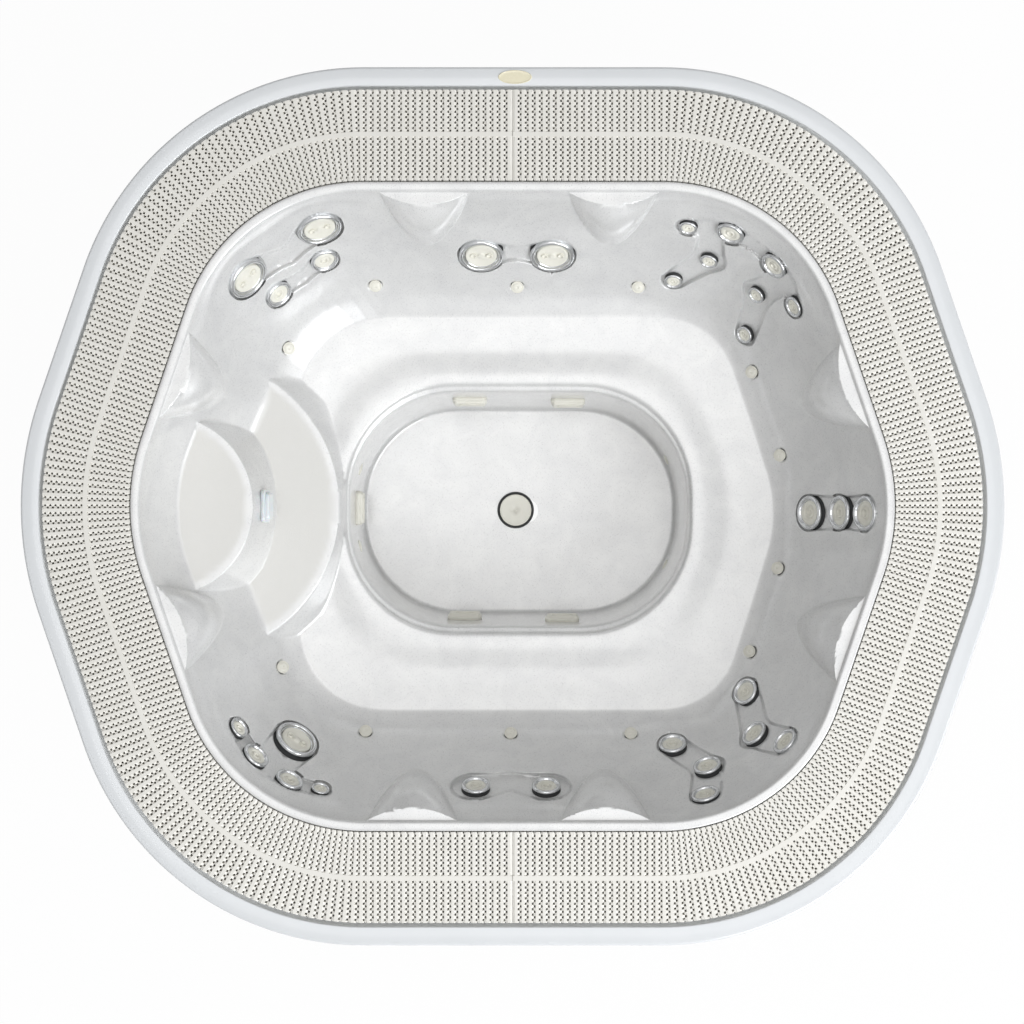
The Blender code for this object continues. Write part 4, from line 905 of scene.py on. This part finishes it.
# Air nozzles: cream caps screwed into small seats in the seat backs and into the footwell wall.
# Each is a low dome of moulded ABS with a dimple in its middle and a ring groove near its edge.
CAP_PROFILE = [
    (1.0, -0.3), (1.0, 0.02), (0.985, 0.08), (0.94, 0.12), (0.86, 0.14), (0.82, 0.1), (0.79, 0.1),
    (0.76, 0.155), (0.55, 0.215), (0.3, 0.245), (0.18, 0.24), (0.14, 0.19), (0.1, 0.17), (0, 0.165),
    (0, -0.3), (1.0, -0.3),
]
CAP_SEGMENTS = 36
WALL_SAMPLES = 400
WALL_CAPS = [(-0.481, 0.125, 0.34), (-0.484, -0.115, 0.32), (0.477, 0.162, 0.174), (0.472, -0.175, 0.18)]


# The place and the facing of the footwell wall in the direction of a spot, at the spot's height
def on_footwell_wall(spot):
    out = np.array(spot[:2]) - CENTRE_SPOT
    lip, crease, bench, floor = station_reaches(math.atan2(out[1], out[0]))
    out = out / np.linalg.norm(out)
    across = np.linspace(2.3, 2.95, WALL_SAMPLES)
    at = int(np.argmax(TOP - through(SECTION, across) <= spot[2]))
    reach = bench + (floor - bench) * (across[at] - 2)
    fall = through(SECTION, across[at:at + 2])
    run_in = (bench - floor) * (across[1] - across[0])
    facing = Vector((*(-out * (fall[1] - fall[0])), run_in)).normalized()
    return Vector((*(CENTRE_SPOT + out * reach), spot[2])), facing


caps = bmesh.new()
for middle, facing, radius in nozzles + [(*on_footwell_wall(spot), NOZZLE_RADIUS) for spot in WALL_CAPS]:
    cap = transformed(turned(CAP_PROFILE, CAP_SEGMENTS, radius), facing_frame(middle, facing))
    join(caps, with_gasket_and_shade(cap, middle, facing, radius, CAP_SEGMENTS))
caps = to_piece(caps, "air_nozzle_caps", cream_abs, gasket_and_shade_rubber)
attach(caps, "tub")


# Suction covers: moulded ABS boxes over the drains in the footwell wall, pressed into flat seats.
# Each has rounded corners, a stepped edge and a bowed band across its upper half.
def cad_seat(name):
    spots = np.array([vertex.co for vertex in frame["nodes"][name].data.vertices])
    middle = (spots.min(0) + spots.max(0)) / 2
    facing = Vector(np.linalg.svd(spots - spots.mean(0))[2][2])
    facing = facing if facing.dot(Vector((*CENTRE, TOP)) - Vector(middle)) > 0 else -facing
    sit = facing_frame(Vector(middle), facing)
    local = np.array([sit.inverted() @ Vector(spot) for spot in spots])
    centre = (local.min(0) + local.max(0)) / 2
    base = sit @ Matrix.Translation((centre[0], centre[1], local[:, 2].min()))
    return base, local.max(0) - local.min(0)


def bevelled(block, edges, offset, segments):
    bmesh.ops.bevel(
        block, geom=edges, offset=offset, affect="EDGES", segments=segments, profile=0.5, material=-1)


# A block with rounded corners and a rounded upper edge, standing on its base
def rounded_block(length, width, height, corner, edge):
    block = bmesh.new()
    bmesh.ops.create_cube(block, size=1)
    bmesh.ops.translate(block, vec=(0, 0, 0.5), verts=block.verts)
    bmesh.ops.scale(block, vec=(length, width, height), verts=block.verts)
    upright = [e for e in block.edges if abs(e.verts[0].co.z - e.verts[1].co.z) > height / 2]
    bevelled(block, upright, corner, 10)
    high = [e for e in block.edges if min(v.co.z for v in e.verts) > height * 0.99]
    bevelled(block, [e for e in high if len({f.normal.z > 0.5 for f in e.link_faces}) == 2], edge, 5)
    return block


def top_face(block):
    return [max((f for f in block.faces if f.normal.z > 0.9), key=lambda f: f.calc_area())]


def merged(parts, name, finish):
    whole = bmesh.new()
    for part, matrix in parts:
        join(whole, transformed(part, matrix))
    bmesh.ops.recalc_face_normals(whole, faces=whole.faces)
    return to_piece(whole, name, finish)


BAND_BOW = 0.01
BAND_CUTS = 14
for place_name in ("top_left", "top_right", "bottom_left", "bottom_right", "left"):
    name = "suction_cover_" + place_name
    sit, (length, width, height) = cad_seat(name)
    plate = rounded_block(length, width, height * 0.55, 0.016, 0.003)
    bmesh.ops.inset_region(plate, faces=top_face(plate), thickness=0.004, depth=0)
    bmesh.ops.translate(plate, vec=(0, 0, height * 0.3), verts=top_face(plate)[0].verts)
    bevelled(plate, list(top_face(plate)[0].edges), 0.003, 4)
    band = rounded_block(length * 0.62, width * 0.26, 0.003, 0.007, 0.0012)
    lengthwise = [e for e in band.edges if abs(e.verts[0].co.x - e.verts[1].co.x) > length * 0.3]
    bmesh.ops.subdivide_edges(band, edges=lengthwise, cuts=BAND_CUTS)
    for vertex in band.verts:
        vertex.co.y += BAND_BOW * (1 - (vertex.co.x / length / 0.31) ** 2)
    band_sit = sit @ Matrix.Translation((0, width * 0.02, height * 0.85 - 0.0006))
    cover = merged([(plate, sit), (band, band_sit)], name + "_moulding", cream_abs)
    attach(cover, "tub")
    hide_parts(name)

# Step light: a frosted polycarbonate lens in a flat frame, pressed into the riser of the upper entry step.
# Frosted polycarbonate, moulded: milky white, with prism lines 4 mm apart behind a smooth skin.
frosted_lens, place = new_material("frosted_polycarbonate")
waves = {"Vector": place, "Scale": 1 / 0.004 / 20, "Distortion": 0}
prisms = add(frosted_lens, "ShaderNodeTexWave", waves, bands_direction="Y")
prisms = {"Height": prisms.outputs["Fac"], "Strength": 0.35, "Distance": 0.0006}
lens_bump = add(frosted_lens, "ShaderNodeBump", prisms)
cloud = noise(frosted_lens, place, 0.02)
milk = blend(frosted_lens, cloud, "E2E4E7", "EFF1F3")
surface(frosted_lens, {
    "Base Color": milk, "Roughness": 0.28, "Normal": lens_bump.outputs[0], "IOR": 1.58,
    "Subsurface Weight": 0.2, "Coat Weight": 0.5,
})
sit, (length, width, height) = cad_seat("step_light")
bezel = rounded_block(length, width, height * 0.45, 0.015, 0.003)
lens = rounded_block(length * 0.8, width * 0.72, height * 0.9, 0.011, 0.005)
light = merged([(bezel, sit), (lens, sit)], "step_light_lens", frosted_lens)
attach(light, "tub")
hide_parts("step_light")

# Drain cover: a cream ABS disc over the floor drain, in a black rubber gasket whose near-black ring is also
# painted shadow of the gap round the disc, held by one small screw.
# Disc and gasket are turned as one profile.
DRAIN_RADIUS = 0.0585
DISC_SEGMENTS = 96
DRAIN_PROFILE = [
    (0, -0.45), (0.5, -0.45), (0.5, 0.006), (1.0, 0.006), (1.0, 0.035), (0.985, 0.05), (0.955, 0.055),
    (0.9, 0.045), (0.875, 0.03), (0.86, 0.03), (0.858, 0.13), (0.85, 0.165), (0.825, 0.185), (0.79, 0.19),
    (0.76, 0.18), (0.72, 0.172), (0.4, 0.19), (0.085, 0.198), (0.08, 0.183), (0.065, 0.18), (0.06, 0.2),
    (0.045, 0.212), (0.018, 0.214), (0.016, 0.2), (0, 0.2),
]
drain = turned(DRAIN_PROFILE, DISC_SEGMENTS, DRAIN_RADIUS)
bmesh.ops.translate(drain, vec=(0, 0, TOP - FLOOR_DEPTH), verts=drain.verts)
drain = to_piece(drain, "drain_disc", cream_abs, gasket_and_shade_rubber)
for polygon in drain.data.polygons:
    across = math.hypot(polygon.center.x, polygon.center.y) / DRAIN_RADIUS
    polygon.material_index = int(across > 0.859 and polygon.center.z > TOP - FLOOR_DEPTH)
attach(drain, "tub")
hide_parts("drain_cover")

# Rim badge: a bare oval plate of cast cream plastic with a raised border, bonded to the rim.
# Doming resin over cream acrylic: a clear glossy skin, with faint flow marks 8 mm across.
badge_resin = mottled("domed_cream_resin", 0.008, 2, ("EFE7C6", "F7F0D4"), (0.22, 0.3), {
    "IOR": 1.5, "Coat Weight": 1, "Coat Roughness": 0.03,
})
BADGE_PROFILE = [
    (0, 0), (1, 0), (1, 0.55), (0.99, 0.85), (0.965, 1), (0.935, 0.95), (0.91, 0.7), (0.89, 0.66),
    (0.6, 0.74), (0, 0.8),
]
badge = turned(BADGE_PROFILE, DISC_SEGMENTS)
spots = np.array([vertex.co for vertex in frame["nodes"]["rim_badge"].data.vertices])
low, high = spots.min(0), spots.max(0)
bmesh.ops.scale(badge, vec=(high - low) / (2, 2, 1), verts=badge.verts)
bmesh.ops.translate(badge, vec=(*(low + high)[:2] / 2, low[2]), verts=badge.verts)
badge = to_piece(badge, "rim_badge_plate", badge_resin)
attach(badge, "tub")
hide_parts("rim_badge")

# Legs and bearers: welded mild steel tube and plate, hot-dip galvanised, under the channel and the footwell.
# The zinc freezes in spangles about 10 mm across, each of a slightly other grey and gloss.
galvanised_steel, place = new_material("hot_dip_galvanised_steel")
warp = noise(galvanised_steel, place, 0.03)
spangles = add(galvanised_steel, "ShaderNodeTexVoronoi", {"Vector": place, "Scale": 1 / 0.01})
zinc = blend(galvanised_steel, spangles.outputs["Color"], "9DA1A5", "C6CACD")
dull = blend(galvanised_steel, warp, zinc, "A9ADB0")
rough = ranged(galvanised_steel, spangles.outputs["Color"], 0.35, 0.6)
surface(galvanised_steel, {"Base Color": dull, "Roughness": rough, "Metallic": 1})


# Gives CAD objects their finish, by the start of their name
def dress(starts, finish):
    for name, node in frame["nodes"].items():
        if name.startswith(starts):
            for slot in node.material_slots:
                slot.material = finish


dress(("leg_", "bearer_"), galvanised_steel)

# Overflow outlets: grey PVC waste fittings clamped through the floor of the channel.
# Rigid PVC, moulded: an even mid grey with a dull gloss and faint flow clouds 25 mm across.
grey_pvc = mottled("grey_rigid_pvc", 0.025, 3, ("7E8488", "90969A"), (0.38, 0.5), {"IOR": 1.54})
dress("channel_outlet_", grey_pvc)

# Studio: a pale floor under the tub, soft lamps, and a camera straight above, as in the photograph
scene.view_settings.view_transform = "Standard"
FLOOR_GLOW = 0.96
DIFFUSE_STRENGTH = 0.51


# 1 for the rays that the camera sees, straight, mirrored or through a lens; and 1 for the straight ones
def seen_rays(material):
    path = add(material, "ShaderNodeLightPath", {}).outputs
    bent = {0: path["Is Glossy Ray"], 1: path["Is Transmission Ray"]}
    bent = add(material, "ShaderNodeMath", bent, operation="MAXIMUM").outputs[0]
    seen = add(material, "ShaderNodeMath", {0: path["Is Camera Ray"], 1: bent}, operation="MAXIMUM")
    return seen.outputs[0], path["Is Camera Ray"]


floor_sheet = bmesh.new()
bmesh.ops.create_grid(floor_sheet, x_segments=1, y_segments=1, size=20)
pale_floor = bpy.data.materials.new("pale_studio_floor")
pale_floor.use_nodes = True
shader = surface(pale_floor, {"Base Color": linear("F4F4F4"), "Roughness": 0.9})
seen, _ = seen_rays(pale_floor)
part_lit = add(pale_floor, "ShaderNodeMath", {0: seen, 1: FLOOR_GLOW}, operation="MULTIPLY")
white = add(pale_floor, "ShaderNodeEmission", {"Color": (1, 1, 1, 1), "Strength": 1})
both = {0: part_lit.outputs[0], 1: shader.outputs[0], 2: white.outputs[0]}
both = add(pale_floor, "ShaderNodeMixShader", both).outputs[0]
feed(pale_floor, pale_floor.node_tree.nodes["Material Output"], {"Surface": both})
floor = to_piece(floor_sheet, "studio_floor", pale_floor)

world = bpy.data.worlds.new("studio")
scene.world = world
world.use_nodes = True
seen, is_camera = seen_rays(world)
strength = ranged(world, seen, DIFFUSE_STRENGTH, 1)
# The studio is white overhead and greyer toward its walls, most on the side away from the lamp
toward = add(world, "ShaderNodeSeparateXYZ", {0: add(world, "ShaderNodeTexCoord", {}).outputs["Generated"]})
across = add(world, "ShaderNodeMath", {0: toward.outputs["X"], 1: toward.outputs["Y"]}, operation="SUBTRACT")
side_share = add(world, "ShaderNodeMapRange", {"Value": across.outputs[0], "From Min": -1.3, "From Max": 1.3})
walls = blend(world, side_share.outputs[0], "6E6E6E", "DADADA")
height_share = {"Value": toward.outputs["Z"], "From Min": 0.1, "From Max": 0.95}
height_share = add(world, "ShaderNodeMapRange", height_share)
shade = blend(world, height_share.outputs[0], walls, "FFFFFF")
plain = blend(world, is_camera, shade, (1, 1, 1, 1))
feed(world, world.node_tree.nodes["Background"], {"Color": plain, "Strength": strength})


def softbox(name, spot, target, size, watts, colour):
    lamp = bpy.data.lights.new(name, "AREA")
    lamp.color = colour
    lamp.shape = "RECTANGLE"
    lamp.size, lamp.size_y = size
    lamp.energy = watts
    item = linked(name, lamp)
    item.location = spot
    item.rotation_euler = (Vector(target) - Vector(spot)).to_track_quat("-Z", "Y").to_euler()


softbox("key_softbox", (5.8, -6.3, 7.3), (0, 0, 0.5), (7, 7), 830, (0.955, 0.975, 1))
softbox("overhead_softbox", (0.1, -0.1, 9.4), (0.1, -0.1, 0.5), (5, 5), 90, (1, 1, 1))

camera_data = bpy.data.cameras.new("camera_above")
camera = linked("camera_above", camera_data)
scene.camera = camera
PICTURE_WIDTH = 1024
PIXEL_AT_RIM = 0.002843
SENSOR_WIDTH = 36
CAMERA_HEIGHT = 8.0
SHIFT_PIXELS = 28
camera.location = (0.078, -0.0958, CAMERA_HEIGHT)
camera_data.sensor_width = SENSOR_WIDTH
camera_data.lens = SENSOR_WIDTH * (CAMERA_HEIGHT - TOP) / (PICTURE_WIDTH * PIXEL_AT_RIM)
camera_data.shift_x = -SHIFT_PIXELS / PICTURE_WIDTH
camera_data.shift_y = SHIFT_PIXELS / PICTURE_WIDTH
